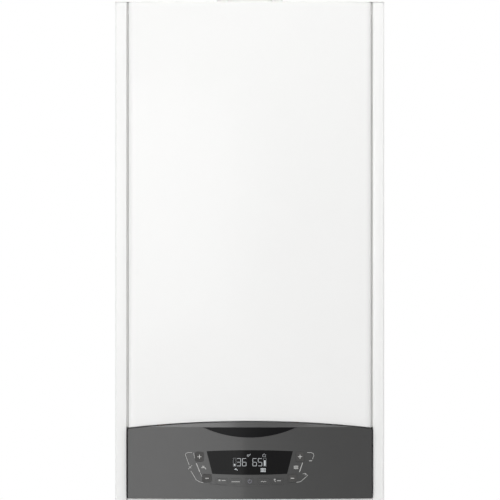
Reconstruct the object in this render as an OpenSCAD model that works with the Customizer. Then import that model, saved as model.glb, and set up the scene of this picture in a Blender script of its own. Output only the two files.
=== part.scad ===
// Wall-hung system boiler: white sheet-metal casing, dark hinged control panel, and what it holds inside.
// The wall is the plane y = 0, the front faces -Y, and heights are worked out from the casing's lower edge.
// The origin is midway between the two holes of the wall bracket, on the wall.

/* [Casing] */
// Overall width of the casing
casing_w = 400; // [380:1:440]
// Height of the casing
casing_h = 745; // [735:1:800]
// Depth from the wall to the front of the side panels
casing_d = 296; // [294:0.5:310]
// Thickness of the casing's sheet steel
sheet_t = 1; // [0.8:0.1:1.4]
// Middle radius of the folds in the sheet steel
fold_r = 2.5; // [1.5:0.1:4]
// Width of the strip that each side panel shows at the front
strip_w = 17; // [14:0.5:22]
// Depth of the lip behind that strip
strip_lip = 12; // [6:0.5:16]
// Width of the side panels' rear flange
rear_flange = 12.5; // [11:0.5:16]
// Thickness of the top panel
top_t = 1.2; // [1:0.1:2]
// Thickness of the base plate
base_t = 1.5; // [1:0.1:2.5]
// Height of the base plate's front flange
base_flange = 6; // [4:0.5:6.4]

/* [Front panel] */
// Gap between the front panel and each side strip
panel_side_gap = 2.5; // [1.5:0.1:4]
// Depth of the front panel's face in front of the side strips, at its edges
panel_proud = 4; // [3:0.5:6]
// How far the face bulges forwards between its edges
panel_bulge = 11; // [6:0.5:13]
// Radius of the face's long edges
panel_edge_r = 9; // [5:0.5:10]
// Height of the lower edge at the middle
edge_mid_z = 121.5; // [119:0.5:124]
// How much lower that edge is at the sides
edge_drop = 10.3; // [9:0.1:10.3]
// Sideways place of each captive screw
captive_x = 120; // [100:1:140]
// Radius of the captive screws' shank
captive_r = 2.5; // [2:0.1:3]
// Sideways place of each push-fit stud
stud_x = 130; // [100:1:150]
// Radius of the push-fit studs' ball
stud_r = 4; // [3:0.1:5]

/* [Wall fixing] */
// Distance between the two wall screws
hole_pitch = 250; // [200:5:280]
// Radius of the wall screws' holes
hole_r = 4.5; // [3:0.1:6]
// Distance from the casing's top down to those holes
hole_drop = 70; // [65:1:85]
// Half the width of the wall bracket
bracket_half = 160; // [150:1:170]
// Thickness of the wall bracket
bracket_t = 2; // [1.5:0.1:2.5]
// Distance from the wall to the back frame
standoff = 12.5; // [12:0.5:16]
// Thickness of the back frame
frame_t = 1.5; // [1.2:0.1:2]
// Radius of the rubber buffers
buffer_r = 12; // [8:0.5:16]
// Sideways place of the rubber buffers
buffer_x = 140; // [120:1:150]
// Height of the rubber buffers
buffer_z = 40; // [30:1:60]

/* [Control panel] */
// Depth of the control panel's face in front of the side strips, at its edges
fascia_proud = 5.5; // [5:0.5:9]
// How far that face bulges forwards between its edges
fascia_bulge = 17.5; // [14:0.5:18]
// Radius of the face's short edges
fascia_edge_r = 3; // [1:0.1:3.3]
// Wall of the moulded cover
fascia_t = 2.5; // [2:0.1:3]
// Height of the cover's lower edge
fascia_z = 6.6; // [6.6:0.1:8]
// Height at which the face slopes back
bevel_z = 111.2; // [110.8:0.1:111.6]
// Slope of that upper face, from upright
bevel_tilt = 38; // [25:1:45]
// Gap between the cover and the front panel's lower edge
fascia_gap = 1; // [0.8:0.1:2]
// Depth of the badge recess
badge_depth = 1; // [0.6:0.1:1.4]
// Distance from the slope down to the blank badge
badge_drop = 0.6; // [0.5:0.1:1.5]
// Half the width of the blank badge
badge_half = 66; // [50:0.5:70]
// Height of the blank badge at its middle
badge_h = 13.4; // [10:0.1:15]
// Thickness of the display window
lens_t = 2; // [1:0.1:2.4]
// Half the width of the display window along its top
lens_top_half = 64; // [60:0.5:65]
// Half the width of the display window along its bottom
lens_low_half = 55.5; // [52:0.5:56]
// Heights of the display window's lower corners and upper corners
lens_z = [43.5, 77.1];
// How far its lower and upper edges bow outwards
lens_bow = 1.5; // [0.5:0.1:2]
// How far the keys stand proud
key_proud = 0.4; // [0.2:0.1:1]
// Travel of the keys
key_travel = 1; // [0.5:0.1:1.5]
// Gap round each key
key_gap = 0.35; // [0.2:0.05:0.4]
// Height of the hinge at the control panel's foot
pivot_z = 14; // [14:0.1:15]
// Radius of the hinge pins
pivot_r = 3; // [2.5:0.1:3.2]
// Half the width of the control box
box_half = 112; // [106:1:114]
// Depth of the control box
box_d = 58; // [50:1:60]
// Heights of the control box's floor and roof
box_z = [12, 88];
// Wall of the control box
box_t = 2; // [1.5:0.1:3]

/* [Combustion] */
// Height of the sealed chamber's floor
chamber_floor = 262; // [258:1:266]
// Distance from the casing's top down to the chamber's roof
chamber_drop = 33; // [30:1:40]
// Distance from each side of the casing to the chamber
chamber_side = 28; // [24:1:32]
// Distance from the wall to the chamber's rear wall
chamber_back = 97; // [96:0.5:100]
// Distance from the chamber's roof down to the heat exchanger's axis
exchanger_drop = 142; // [130:1:150]
// Radius of the heat exchanger
exchanger_r = 95; // [90:1:100]
// Depth of the heat exchanger
exchanger_d = 106.7; // [100:0.1:108]
// Turns of the heat exchanger's tube
coil_turns = 6; // [5:1:6]
// Radius of the burner tube
burner_r = 35; // [28:1:38]
// Radius of the mixture duct
duct_r = 19; // [16:0.5:19]
// Radius of the fan housing
fan_r = 56; // [50:0.5:58]
// Depth of the fan housing
fan_d = 44; // [38:1:44]
// Height of the fan's axis
fan_z = 345; // [343:1:360]
// Inner radius of the flue pipe
flue_bore_r = 30.2; // [28:0.1:32]
// Outer radius of the air intake collar
collar_r = 50; // [46:0.1:52]
// Height of the collar above the casing
collar_h = 20; // [14:1:30]

/* [Water] */
// Sideways distance from the middle to the flow and return pipes
pipe_x = 130; // [126:1:134]
// Distance from the wall to the pipes' ends
pipe_y = 160; // [155:1:165]
// Outer radius of the flow and return pipes
pipe_r = 11; // [9:0.5:11.5]
// Wall of the pipes
pipe_t = 1; // [0.8:0.1:1.5]
// How far the pipes' ends reach below the casing
pipe_drop = 45; // [40:1:60]
// Outer radius of the gas pipe
gas_r = 9; // [7.5:0.5:9.5]
// Sideways place of the gas pipe
gas_x = 65; // [60:1:68]
// Half the width of the expansion vessel
vessel_half = 140; // [120:1:150]
// Height of the expansion vessel's lower end
vessel_foot = 340; // [320:1:360]
// Distance from the casing's top down to its upper end
vessel_drop = 65; // [60:1:90]
// Depth of the expansion vessel
vessel_d = 76; // [60:1:78]
// Radius of the pump's body
pump_r = 42; // [38:0.5:44]
// Radius of the pump's motor
motor_r = 36; // [32:0.5:37]
// Length of the pump's motor
motor_d = 85; // [75:1:95]
// Height of the pump's axis
pump_z = 150; // [148:1:156]
// Radius of the pump's shaft
shaft_r = 4; // [3:0.1:5]

/* [Fits] */
// Space between pieces that sit on each other
seat = 0.3; // [0.2:0.05:0.4]
// Space round a turning shaft
running = 0.05; // [0.02:0.01:0.08]
// Space round a pipe or screw in its hole
hole_gap = 0.5; // [0.3:0.05:0.8]

/* [Hidden] */
$fn = 64;
sides = [-1, 1];
round_fn = 720;
hole_z = casing_h - hole_drop;
outer = casing_w / 2;
inner = outer - sheet_t;
side_top = casing_h - top_t - seat;
back = -standoff - frame_t;
front = -casing_d;
strip_x = outer - strip_w;
lip_y = front + strip_lip;
panel_half = strip_x - panel_side_gap;
panel_edge_y = front - panel_proud;
panel_crown = panel_edge_y - panel_bulge;
panel_rear = front + 7;
panel_top = casing_h - top_t - 1.8;
arc_r = (panel_half * panel_half + edge_drop * edge_drop) / (2 * edge_drop);
arc_z = edge_mid_z - arc_r;
rail_y = front + 8;
captive_y = front + 4;
stud_z = casing_h - 17;
base_front = front + 5;
fascia_edge_y = front - fascia_proud;
fascia_crown = fascia_edge_y - fascia_bulge;
fascia_rear = fascia_edge_y + fascia_edge_r + 0.5;
face_cut_y = fascia_edge_y - 3.5;
plate_t = 2;
pivot_y = fascia_rear - plate_t;
box_rear = fascia_rear + box_d;
board_t = 1.6;
pillar_h = 24;
display_y = fascia_crown + 16;
display_front = display_y - board_t;
ear_x = box_half + 8;
ear_t = 4;
ear_r = 5;
chamber_half = outer - chamber_side;
chamber_z = [chamber_floor, casing_h - chamber_drop];
exchanger_z = chamber_z[1] - exchanger_drop;
chamber_front = front + 11;
chamber_rear = -chamber_back;
exchanger_back = chamber_rear - sheet_t - seat;
exchanger_front = exchanger_back - exchanger_d;
door_t = 6.7;
door_front = exchanger_front - seat - door_t;
flue_y = -pipe_y;
coil_r = exchanger_r - 17;
port_reach = exchanger_r + 5;
return_port_z = exchanger_z - 40;
flow_port_z = exchanger_z + 40;
duct_y = door_front - 28;
fan_back = duct_y + fan_d / 2;
fan_front = fan_back - fan_d;
fan_x = duct_r - fan_r + 1;
fan_shaft_r = 3;
electrode_at = [60, -20];
fan_motor_r = 32;
fan_motor_d = 42;
mixer_r = 30;
mixer_front = fan_front - 20;
valve_half = 28;
valve_back = -pipe_y - 20;
valve_front = valve_back - 90;
valve_z = [fan_z - 40, fan_z + 40];
valve_in_y = valve_back - 20;
gas_y = -pipe_y;
gas_bend = 18;
water_bend = 18;
bead_z = [-24, -22];
nut_z = [-21.7, -6];
vessel_z = [vessel_foot, casing_h - vessel_drop];
vessel_back = back - 2;
vessel_front = vessel_back - vessel_d;
vessel_t = 1.5;
vessel_corner = 30;
vessel_foot_x = vessel_half - 40;
hose_r = 5;
hose_x = gas_x - 5;
pump_back = -60;
pump_front = -100;
pump_y = (pump_back + pump_front) / 2;
pump_wall = 4;
motor_front = pump_front - motor_d;
block_half = 25;
block_z = [40, 90];
valve_x = -pipe_x + 45;
trap_y = -120;
trap_r = 22;
trap_z = [60, 170];
discharge_r = 7;
trap_neck_r = 8;
trap_spout_r = 9;
gland_r = 8;
gland_at = [-30, -230];
screw_r = 2;
screw_head = 4;
flange_x = inner - rear_flange / 2;
screw_heights = [60, 250, 480, casing_h - 40];
cover_screw_z = [chamber_z[0] + 18, chamber_z[1] - 18];
cover_screw_x = chamber_half - 12;
cover_rib = 2.6;
// Each key: sideways place, height, width, height of its face
keys = [[-74.6, 68.8, 11.7, 14], [-63.4, 36.9, 12.8, 11.6], [74.6, 68.8, 11.7, 14],
    [63.4, 36.9, 12.8, 11.6], [-41.4, 32.4, 17, 8], [-20.7, 32.4, 17, 8], [0, 32.4, 11, 9],
    [20.7, 32.4, 17, 8], [41.4, 32.4, 17, 8]];
boss_x = 86;
boss_z = [28, 80];

function unit(v) = v / norm(v);

function face_r(bulge) = (panel_half * panel_half + bulge * bulge) / (2 * bulge);

function face_y(x, crown, bulge) = crown + face_r(bulge) - sqrt(pow(face_r(bulge), 2) - x * x);

// Puts what is drawn above the casing's lower edge into the part's own frame
module placed() translate([0, 0, -hole_z]) children();

// Draws a front view and gives it depth towards the front
module front_view(y_back, y_front) {
    translate([0, y_back, 0]) rotate([90, 0, 0]) linear_extrude(y_back - y_front) children();
}

// Draws a view from the right, as y and z, and gives it width
module side_view(x_from, x_to) {
    translate([x_from, 0, 0]) rotate([90, 0, 90]) linear_extrude(x_to - x_from) children();
}

// Draws a plan and gives it height
module plan(z_from, z_to) translate([0, 0, z_from]) linear_extrude(z_to - z_from) children();

module rod_x(y, z, x_from, x_to, r) {
    translate([x_from, y, z]) rotate([0, 90, 0]) cylinder(h = x_to - x_from, r = r);
}

module rod_y(x, z, y_back, y_front, r) {
    translate([x, y_back, z]) rotate([90, 0, 0]) cylinder(h = y_back - y_front, r = r);
}

module rod_z(x, y, z_from, z_to, r) translate([x, y, z_from]) cylinder(h = z_to - z_from, r = r);

module slab(low, high) translate(low) cube(high - low);

module round_rect(w, h, r) {
    square([w - 2 * r, h], center = true);
    square([w, h - 2 * r], center = true);
    for (x = sides, y = sides) translate([x * (w / 2 - r), y * (h / 2 - r)]) circle(r);
}

// Sheet steel folded square along the middle line that the points give, standing upright
module folded(points, t, r, tall) {
    last = len(points) - 1;
    for (i = [0 : last - 1]) {
        run = unit(points[i + 1] - points[i]);
        from = points[i] + run * (i == 0 ? 0 : r);
        to = points[i + 1] - run * (i == last - 1 ? 0 : r);
        half = [-run.y, run.x] * t / 2;
        linear_extrude(tall) polygon([from + half, to + half, to - half, from - half]);
    }
    for (i = [1 : last - 1]) {
        into = unit(points[i] - points[i - 1]);
        out = unit(points[i + 1] - points[i]);
        middle = points[i] + r * (out - into);
        reach = r + t;
        linear_extrude(tall) intersection() {
            translate(middle) difference() {
                circle(r + t / 2);
                circle(r - t / 2);
            }
            polygon([middle, middle + reach * into, middle + reach * (into - out),
                middle - reach * out]);
        }
    }
}

// A bent tube whose bends are all square
module bent_tube(points, r, t, bend) {
    last = len(points) - 1;
    for (i = [0 : last - 1]) {
        run = unit(points[i + 1] - points[i]);
        from = points[i] + run * (i == 0 ? 0 : bend);
        to = points[i + 1] - run * (i == last - 1 ? 0 : bend);
        across = abs(run.z) > 0.5 ? [1, 0, 0] : [0, 0, 1];
        other = cross(run, across);
        multmatrix([[across.x, other.x, run.x, from.x], [across.y, other.y, run.y, from.y],
            [across.z, other.z, run.z, from.z], [0, 0, 0, 1]])
            linear_extrude(norm(to - from)) difference() {
                circle(r);
                circle(r - t);
            }
    }
    for (i = [1 : last - 1]) {
        into = unit(points[i] - points[i - 1]);
        out = unit(points[i + 1] - points[i]);
        middle = points[i] + bend * (out - into);
        turn = cross(-out, into);
        multmatrix([[-out.x, into.x, turn.x, middle.x], [-out.y, into.y, turn.y, middle.y],
            [-out.z, into.z, turn.z, middle.z], [0, 0, 0, 1]])
            rotate_extrude(angle = 90) translate([bend, 0]) difference() {
                circle(r);
                circle(r - t);
            }
    }
}

// A solid whose front face bulges forwards and has rounded long edges. Drawn in by more than
// the radius of those edges, its corners are sharp.
module bulged(crown, bulge, edge_r, rear, grow, z_from, z_to) {
    r = face_r(bulge);
    middle = crown + r;
    corner_x = panel_half - edge_r;
    corner_y = middle - sqrt(pow(r - edge_r, 2) - corner_x * corner_x);
    meet_x = min(corner_x * (r + grow) / (r - edge_r), panel_half + grow);
    corner_r = edge_r + grow;
    seam_y = (corner_y + rear) / 2;
    intersection() {
        rod_z(0, middle, z_from, z_to, r + grow, $fn = round_fn);
        slab([-meet_x, crown - 5, z_from], [meet_x, seam_y, z_to]);
    }
    if (corner_r > 0) for (s = sides) intersection() {
        rod_z(s * corner_x, corner_y, z_from, z_to, corner_r);
        slab([-casing_w, crown - 5, z_from], [casing_w, seam_y, z_to]);
    }
    slab([-panel_half - grow, corner_y - min(corner_r, 0), z_from], [panel_half + grow, rear, z_to]);
}

module panel_form(grow, rear, z_from, z_to) {
    bulged(panel_crown, panel_bulge, panel_edge_r, rear, grow, z_from, z_to);
}

module fascia_form(grow, rear, z_from, z_to) {
    bulged(fascia_crown, fascia_bulge, fascia_edge_r, rear, grow, z_from, z_to);
}

// The long arc between the front panel and the control panel, seen from the front
module edge_arc(grow, y_back) {
    translate([0, y_back, arc_z]) rotate([90, 0, 0]) cylinder(h = 80, r = arc_r + grow, $fn = round_fn);
}

// The slope along the top of the control panel, as part of a leaning cylinder
module bevel(grow) {
    r = face_r(fascia_bulge) / cos(bevel_tilt);
    translate([0, fascia_crown + r * cos(bevel_tilt), bevel_z - r * sin(bevel_tilt)])
        rotate([-bevel_tilt, 0, 0])
        cylinder(h = 3 * r, r = r + grow, center = true, $fn = round_fn);
}

module wall_bracket() placed() color("silver") difference() {
    ledge = hole_z + 25;
    side_view(-bracket_half, bracket_half) union() {
        translate([-bracket_t, hole_z - 25]) square([bracket_t, 50]);
        translate([-standoff + 2, ledge - bracket_t]) square([standoff - 2, bracket_t]);
        translate([-standoff + 2, ledge - bracket_t]) square([bracket_t, bracket_t + 12]);
    }
    for (s = sides) rod_y(s * hole_pitch / 2, hole_z, 1, -bracket_t - 1, hole_r);
}

module back_frame() placed() color("gainsboro") difference() {
    hook = hole_z + 37 + seat;
    union() {
        slab([-inner + 1, back, 8], [inner - 1, -standoff, casing_h - 7]);
        side_view(-bracket_half + 5, bracket_half - 5) union() {
            translate([-standoff, hook]) square([standoff - 4.5, frame_t]);
            translate([-4.5 - frame_t, hook - 10]) square([frame_t, 10]);
        }
        for (s = sides) slab([s * 90 - 10, -standoff, 70], [s * 90 + 10, -standoff + 5, hole_z - 60]);
    }
    for (s = sides, z = screw_heights) {
        rod_y(s * flange_x, z, 0, back - 1, screw_r + seat);
    }
    for (s = sides) rod_y(s * buffer_x, buffer_z, 0, back - 1, buffer_r / 2);
}

module wall_buffers() placed() color("dimgray") {
    for (s = sides) {
        rod_y(s * buffer_x, buffer_z, 0, -standoff + seat, buffer_r);
        rod_y(s * buffer_x, buffer_z, -standoff + seat, back, buffer_r / 2 - seat);
    }
}

module side_panel(s) difference() {
    folded([[s * (inner + sheet_t / 2 - rear_flange), back - seat - sheet_t / 2],
        [s * (outer - sheet_t / 2), back - seat - sheet_t / 2],
        [s * (outer - sheet_t / 2), front + sheet_t / 2],
        [s * (strip_x + sheet_t / 2), front + sheet_t / 2],
        [s * (strip_x + sheet_t / 2), lip_y]], sheet_t, fold_r, side_top);
    for (z = screw_heights) rod_y(s * flange_x, z, back, back - 5, screw_r + seat);
}

module side_panel_left() placed() color("white") side_panel(-1);

module side_panel_right() placed() color("white") side_panel(1);

module casing_screws() placed() color("lightgray") {
    for (s = sides, z = screw_heights) {
        rod_y(s * flange_x, z, -standoff + seat + 2.5, -standoff + seat, screw_head);
        rod_y(s * flange_x, z, -standoff + seat, back - 6, screw_r);
    }
    under_head = chamber_front - 2 * seat - cover_rib;
    for (s = sides, z = cover_screw_z) {
        rod_y(s * cover_screw_x, z, under_head, under_head - 2.5, screw_head);
        rod_y(s * cover_screw_x, z, chamber_front + 6, under_head, screw_r);
    }
}

module top_panel() placed() color("white") difference() {
    union() {
        slab([-outer, front, casing_h - top_t], [outer, -standoff, casing_h]);
        for (s = sides) {
            slab([s * stud_x - 20, rail_y, stud_z - 12],
                [s * stud_x + 20, rail_y + sheet_t, casing_h - top_t]);
        }
    }
    rod_z(0, flue_y, casing_h - top_t - 1, casing_h + 1, collar_r - 2);
    for (s = sides) rod_y(s * stud_x, stud_z, rail_y + 5, rail_y - 5, stud_r / 2 + seat);
}

module panel_studs() placed() color("silver") for (s = sides) {
    rod_y(s * stud_x, stud_z, rail_y + sheet_t + seat + 2, rail_y + sheet_t + seat, stud_r);
    rod_y(s * stud_x, stud_z, rail_y + sheet_t + seat, rail_y - 8, stud_r / 2);
    translate([s * stud_x, rail_y - 8, stud_z]) sphere(stud_r);
}

module base_plate() placed() color("white") difference() {
    union() {
        slab([-inner + seat, lip_y + seat, 0], [inner - seat, back - seat - sheet_t - fold_r, base_t]);
        slab([-inner + fold_r, lip_y + seat, 0], [inner - fold_r, back - 2 * seat - sheet_t, base_t]);
        slab([-strip_x + seat, base_front, 0], [strip_x - seat, lip_y + seat, base_t]);
        slab([-strip_x + seat, base_front, 0], [strip_x - seat, base_front + sheet_t, base_flange]);
    }
    for (s = sides) rod_z(s * pipe_x, -pipe_y, -1, base_t + 1, pipe_r + hole_gap);
    rod_z(gas_x, gas_y, -1, base_t + 1, gas_r + hole_gap);
    rod_z(valve_x, -pipe_y, -1, base_t + 1, discharge_r + hole_gap);
    rod_z(0, trap_y, -1, base_t + 1, trap_spout_r + hole_gap);
    rod_z(gland_at.x, gland_at.y, -1, base_t + 1, gland_r + seat);
}

module cross_rail() placed() color("gainsboro") difference() {
    tab_z = edge_mid_z + sheet_t - pow(captive_x - 12, 2) / (2 * arc_r) + seat;
    union() {
        slab([-strip_x + seat, rail_y, tab_z], [strip_x - seat, rail_y + sheet_t, tab_z + 27]);
        slab([-strip_x + seat, rail_y, tab_z + 26], [strip_x - seat, rail_y + 20, tab_z + 27]);
        for (s = sides) {
            slab([s * captive_x - 12, panel_edge_y, tab_z], [s * captive_x + 12, rail_y, tab_z + 1.5]);
        }
    }
    for (s = sides) rod_z(s * captive_x, captive_y, tab_z - 1, tab_z + 3, captive_r + seat);
}

module front_panel() placed() color("white") difference() {
    low = edge_mid_z - edge_drop - 5;
    union() {
        difference() {
            panel_form(0, panel_rear, low, panel_top);
            panel_form(-sheet_t, panel_rear + 1, low - 1, panel_top - sheet_t);
            edge_arc(0, lip_y);
        }
        intersection() {
            panel_form(-sheet_t / 2, panel_rear, low, edge_mid_z + 5);
            difference() {
                edge_arc(sheet_t, lip_y);
                edge_arc(0, lip_y + 1);
            }
        }
    }
    for (s = sides) {
        rod_z(s * captive_x, captive_y, low, edge_mid_z + 5, captive_r + seat);
        slab([s * captive_x - captive_r - seat, captive_y, low],
            [s * captive_x + captive_r + seat, panel_rear + 1, edge_mid_z + 5]);
    }
}

module panel_clips() placed() color("dimgray") for (s = sides) difference() {
    clip_r = stud_r + 3;
    clip_front = face_y(stud_x + clip_r, panel_crown, panel_bulge) + sheet_t + seat;
    rod_y(s * stud_x, stud_z, rail_y - 1.5, clip_front, clip_r);
    rod_y(s * stud_x, stud_z, rail_y - 1, rail_y - 8 - stud_r - 1, stud_r + seat);
}

module captive_screws() placed() color("silver") for (s = sides) {
    seat_z = edge_mid_z - pow(captive_x + 4, 2) / (2 * arc_r) - seat;
    rod_z(s * captive_x, captive_y, seat_z - 4, seat_z, captive_r + 1.5);
    rod_z(s * captive_x, captive_y, seat_z, seat_z + 18, captive_r);
}

module chamber_box() placed() color("lightgray") difference() {
    union() {
        for (s = sides) {
            x = s > 0 ? chamber_half - sheet_t : -chamber_half;
            slab([x, chamber_front, chamber_z[0]], [x + sheet_t, back - seat, chamber_z[1]]);
            slab([s > 0 ? x - 18 : x, chamber_front, chamber_z[0]],
                [s > 0 ? x : x + 19, chamber_front + sheet_t, chamber_z[1]]);
        }
        for (z = [chamber_z[0], chamber_z[1] - sheet_t]) {
            slab([-chamber_half, chamber_front, z], [chamber_half, chamber_rear, z + sheet_t]);
        }
        slab([-chamber_half, chamber_rear - sheet_t, chamber_z[0]],
            [chamber_half, chamber_rear, chamber_z[1]]);
    }
    rod_z(0, flue_y, chamber_z[1] - 5, chamber_z[1] + 5, collar_r - 2);
    for (s = sides) rod_z(s * pipe_x, -pipe_y, chamber_z[0] - 5, chamber_z[0] + 5, pipe_r + hole_gap);
    rod_z(gas_x, valve_in_y, chamber_z[0] - 5, chamber_z[0] + 5, gas_r + hole_gap);
    rod_z(0, trap_y, chamber_z[0] - 5, chamber_z[0] + 5, trap_neck_r + hole_gap);
    for (s = sides, z = cover_screw_z) {
        rod_y(s * cover_screw_x, z, chamber_front + 5, chamber_front - 5, screw_r + seat);
    }
}

module chamber_cover() placed() color("silver") difference() {
    union() {
        slab([-chamber_half - 2, chamber_front - seat - sheet_t, chamber_z[0] - 4],
            [chamber_half + 2, chamber_front - seat, chamber_z[1] + 2]);
        front_view(chamber_front - seat - sheet_t, chamber_front - seat - cover_rib)
            translate([0, (chamber_z[0] + chamber_z[1]) / 2])
            difference() {
                round_rect(2 * chamber_half - 4, chamber_z[1] - chamber_z[0] - 4, 12);
                round_rect(2 * chamber_half - 44, chamber_z[1] - chamber_z[0] - 44, 8);
            }
    }
    for (s = sides, z = cover_screw_z) {
        rod_y(s * cover_screw_x, z, chamber_front + 5, chamber_front - 5, screw_r + seat);
    }
}

module exchanger_shell() placed() color("silver") difference() {
    union() {
        rod_y(0, exchanger_z, exchanger_back, exchanger_front, exchanger_r);
        rod_y(0, exchanger_z, exchanger_front + 4, exchanger_front, exchanger_r + 3);
        rod_x(-pipe_y, return_port_z, 0, port_reach, pipe_r + 2);
        rod_x(-pipe_y, flow_port_z, -port_reach, 0, pipe_r + 2);
        rod_z(0, trap_y, exchanger_z - exchanger_r - 6, exchanger_z, 10);
        rod_z(0, flue_y, exchanger_z, exchanger_z + exchanger_r + 8, flue_bore_r + 4);
    }
    rod_y(0, exchanger_z, exchanger_back - 1.5, exchanger_front - 1, exchanger_r - 1.5);
    rod_x(-pipe_y, return_port_z, 0, port_reach + 1, pipe_r - pipe_t);
    rod_x(-pipe_y, flow_port_z, -port_reach - 1, 0, pipe_r - pipe_t);
    rod_z(0, trap_y, exchanger_z - exchanger_r - 7, exchanger_z, 7);
    rod_z(0, flue_y, exchanger_z, exchanger_z + exchanger_r + 9, flue_bore_r);
}

module exchanger_coil() placed() color("lightsteelblue") {
    pitch = 15;
    tube = 8;
    y_first = exchanger_back - 1.5 - seat - tube;
    translate([0, y_first, exchanger_z]) rotate([90, 0, 0]) rotate_extrude() difference() {
        union() for (i = [0 : coil_turns - 1]) translate([coil_r, i * pitch]) circle(tube, $fn = 32);
        for (i = [0 : coil_turns - 1]) translate([coil_r, i * pitch]) circle(tube - 2, $fn = 32);
    }
    for (a = [10, 130, 250]) translate([0, y_first, exchanger_z]) rotate([90, a, 0])
        slab([coil_r + tube - 1, -3, 0], [exchanger_r - 1.5 - seat, 3, (coil_turns - 1) * pitch]);
}

module burner_door() placed() color("silver") difference() {
    union() {
        rod_y(0, exchanger_z, exchanger_front - seat, door_front, exchanger_r + 3);
        rod_y(0, exchanger_z, exchanger_front + 12, exchanger_front - seat, coil_r - 16);
    }
    rod_y(0, exchanger_z, exchanger_front + 13, door_front - 1, burner_r + seat);
    rod_y(electrode_at.x, exchanger_z + electrode_at.y, exchanger_front + 30, door_front - 1, 5 + seat);
}

module burner() placed() color("dimgray") difference() {
    union() {
        rod_y(0, exchanger_z, exchanger_back - 25, door_front - seat, burner_r);
        rod_y(0, exchanger_z, door_front - seat, door_front - seat - 2, burner_r + 8);
    }
    rod_y(0, exchanger_z, exchanger_back - 26.5, door_front - seat - 3, burner_r - 1.5);
}

module electrode() placed() color("ivory") {
    rod_y(electrode_at.x, exchanger_z + electrode_at.y, exchanger_front + 20, door_front - 18, 5);
    rod_y(electrode_at.x, exchanger_z + electrode_at.y, exchanger_front + 38, exchanger_front + 20, 1.5);
    rod_y(electrode_at.x, exchanger_z + electrode_at.y, door_front - seat, door_front - seat - 3, 8);
}

module mixture_duct() placed() color("darkgray") {
    flange_y = door_front - 2 * seat - 2;
    top_z = fan_z + fan_r + 4 + seat;
    bent_tube([[0, flange_y, exchanger_z], [0, duct_y, exchanger_z], [0, duct_y, top_z]],
        duct_r, 2, duct_r + 1);
    difference() {
        rod_y(0, exchanger_z, flange_y, flange_y - 3, duct_r + 10);
        rod_y(0, exchanger_z, flange_y + 1, flange_y - 4, duct_r - 2);
    }
}

module fan_housing() placed() color("gray") difference() {
    union() {
        rod_y(fan_x, fan_z, fan_back, fan_front, fan_r);
        rod_z(0, duct_y, fan_z, fan_z + fan_r + 4, duct_r);
        rod_y(fan_x, fan_z, fan_front, mixer_front, mixer_r);
        slab([fan_x - 20, duct_y - 8, chamber_z[0] + sheet_t + seat],
            [fan_x + 20, duct_y + 8, fan_z - fan_r + 4]);
    }
    rod_y(fan_x, fan_z, fan_back - 3, fan_front + 3, fan_r - 3);
    rod_z(0, duct_y, fan_z, fan_z + fan_r + 5, duct_r - 2);
    rod_y(fan_x, fan_z, fan_back - 4, mixer_front - 1, mixer_r - 8);
    rod_y(fan_x, fan_z, fan_back + 1, fan_back - 4, fan_shaft_r + running);
    rod_x(fan_front - 10, fan_z, fan_x, fan_x + mixer_r + 5, 5);
}

module fan_motor() placed() color("dimgray") difference() {
    rod_y(fan_x, fan_z, fan_back + seat + fan_motor_d, fan_back + seat, fan_motor_r);
    rod_y(fan_x, fan_z, fan_back + seat + fan_motor_d - 3, fan_back + seat + 3, fan_motor_r - 3);
    rod_y(fan_x, fan_z, fan_back + seat + fan_motor_d - 2, fan_back - 1, fan_shaft_r + running);
}

module fan_rotor() placed() color("darkslategray") {
    hub_back = fan_back - 3 - 4;
    rod_y(fan_x, fan_z, fan_back + fan_motor_d - 2, hub_back - 20, fan_shaft_r);
    rod_y(fan_x, fan_z, fan_back + seat + fan_motor_d - 8, fan_back + seat + 8, fan_motor_r - 8);
    rod_y(fan_x, fan_z, hub_back, hub_back - 2, fan_r - 12);
    for (i = [0 : 11]) translate([fan_x, hub_back - 2, fan_z]) rotate([90, 30 * i, 0])
        slab([22, -0.75, 0], [fan_r - 12, 0.75, 20]);
}

module gas_valve() placed() color("darkgray") difference() {
    union() {
        slab([gas_x - valve_half, valve_front, valve_z[0]],
            [gas_x + valve_half, valve_back, valve_z[1]]);
        rod_z(gas_x, valve_in_y, valve_z[0] - 8, valve_z[0], gas_r + 4);
        rod_z(gas_x, valve_front + 30, valve_z[1], valve_z[1] + 25, 18);
    }
    rod_z(gas_x, valve_in_y, valve_z[0] - 9, fan_z, gas_r - pipe_t);
    rod_x(fan_front - 10, fan_z, gas_x - valve_half - 1, gas_x, 5);
}

module gas_pipe() placed() color("peru") {
    bent_tube([[gas_x, valve_in_y, valve_z[0] - 8 - seat], [gas_x, valve_in_y, chamber_z[0] - 24],
        [gas_x, gas_y, chamber_z[0] - 24], [gas_x, gas_y, -pipe_drop]], gas_r, pipe_t, gas_bend);
    difference() {
        rod_z(gas_x, gas_y, bead_z[0], bead_z[1], gas_r + 1.5);
        rod_z(gas_x, gas_y, bead_z[0] - 1, bead_z[1] + 1, gas_r - pipe_t);
    }
    bent_tube([[gas_x - valve_half - seat, fan_front - 10, fan_z],
        [fan_x + mixer_r + seat, fan_front - 10, fan_z]], 7, 2, gas_bend);
}

module flue_pipe() placed() color("gainsboro") difference() {
    foot = exchanger_z + exchanger_r + 8 + seat;
    union() {
        rod_z(0, flue_y, foot, casing_h + collar_h, flue_bore_r + 1.5);
        rod_z(0, flue_y, foot, foot + 8, flue_bore_r + 4);
    }
    rod_z(0, flue_y, foot - 1, casing_h + 2, flue_bore_r - 1.5);
    rod_z(0, flue_y, casing_h + 2, casing_h + collar_h + 1, flue_bore_r);
}

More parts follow.
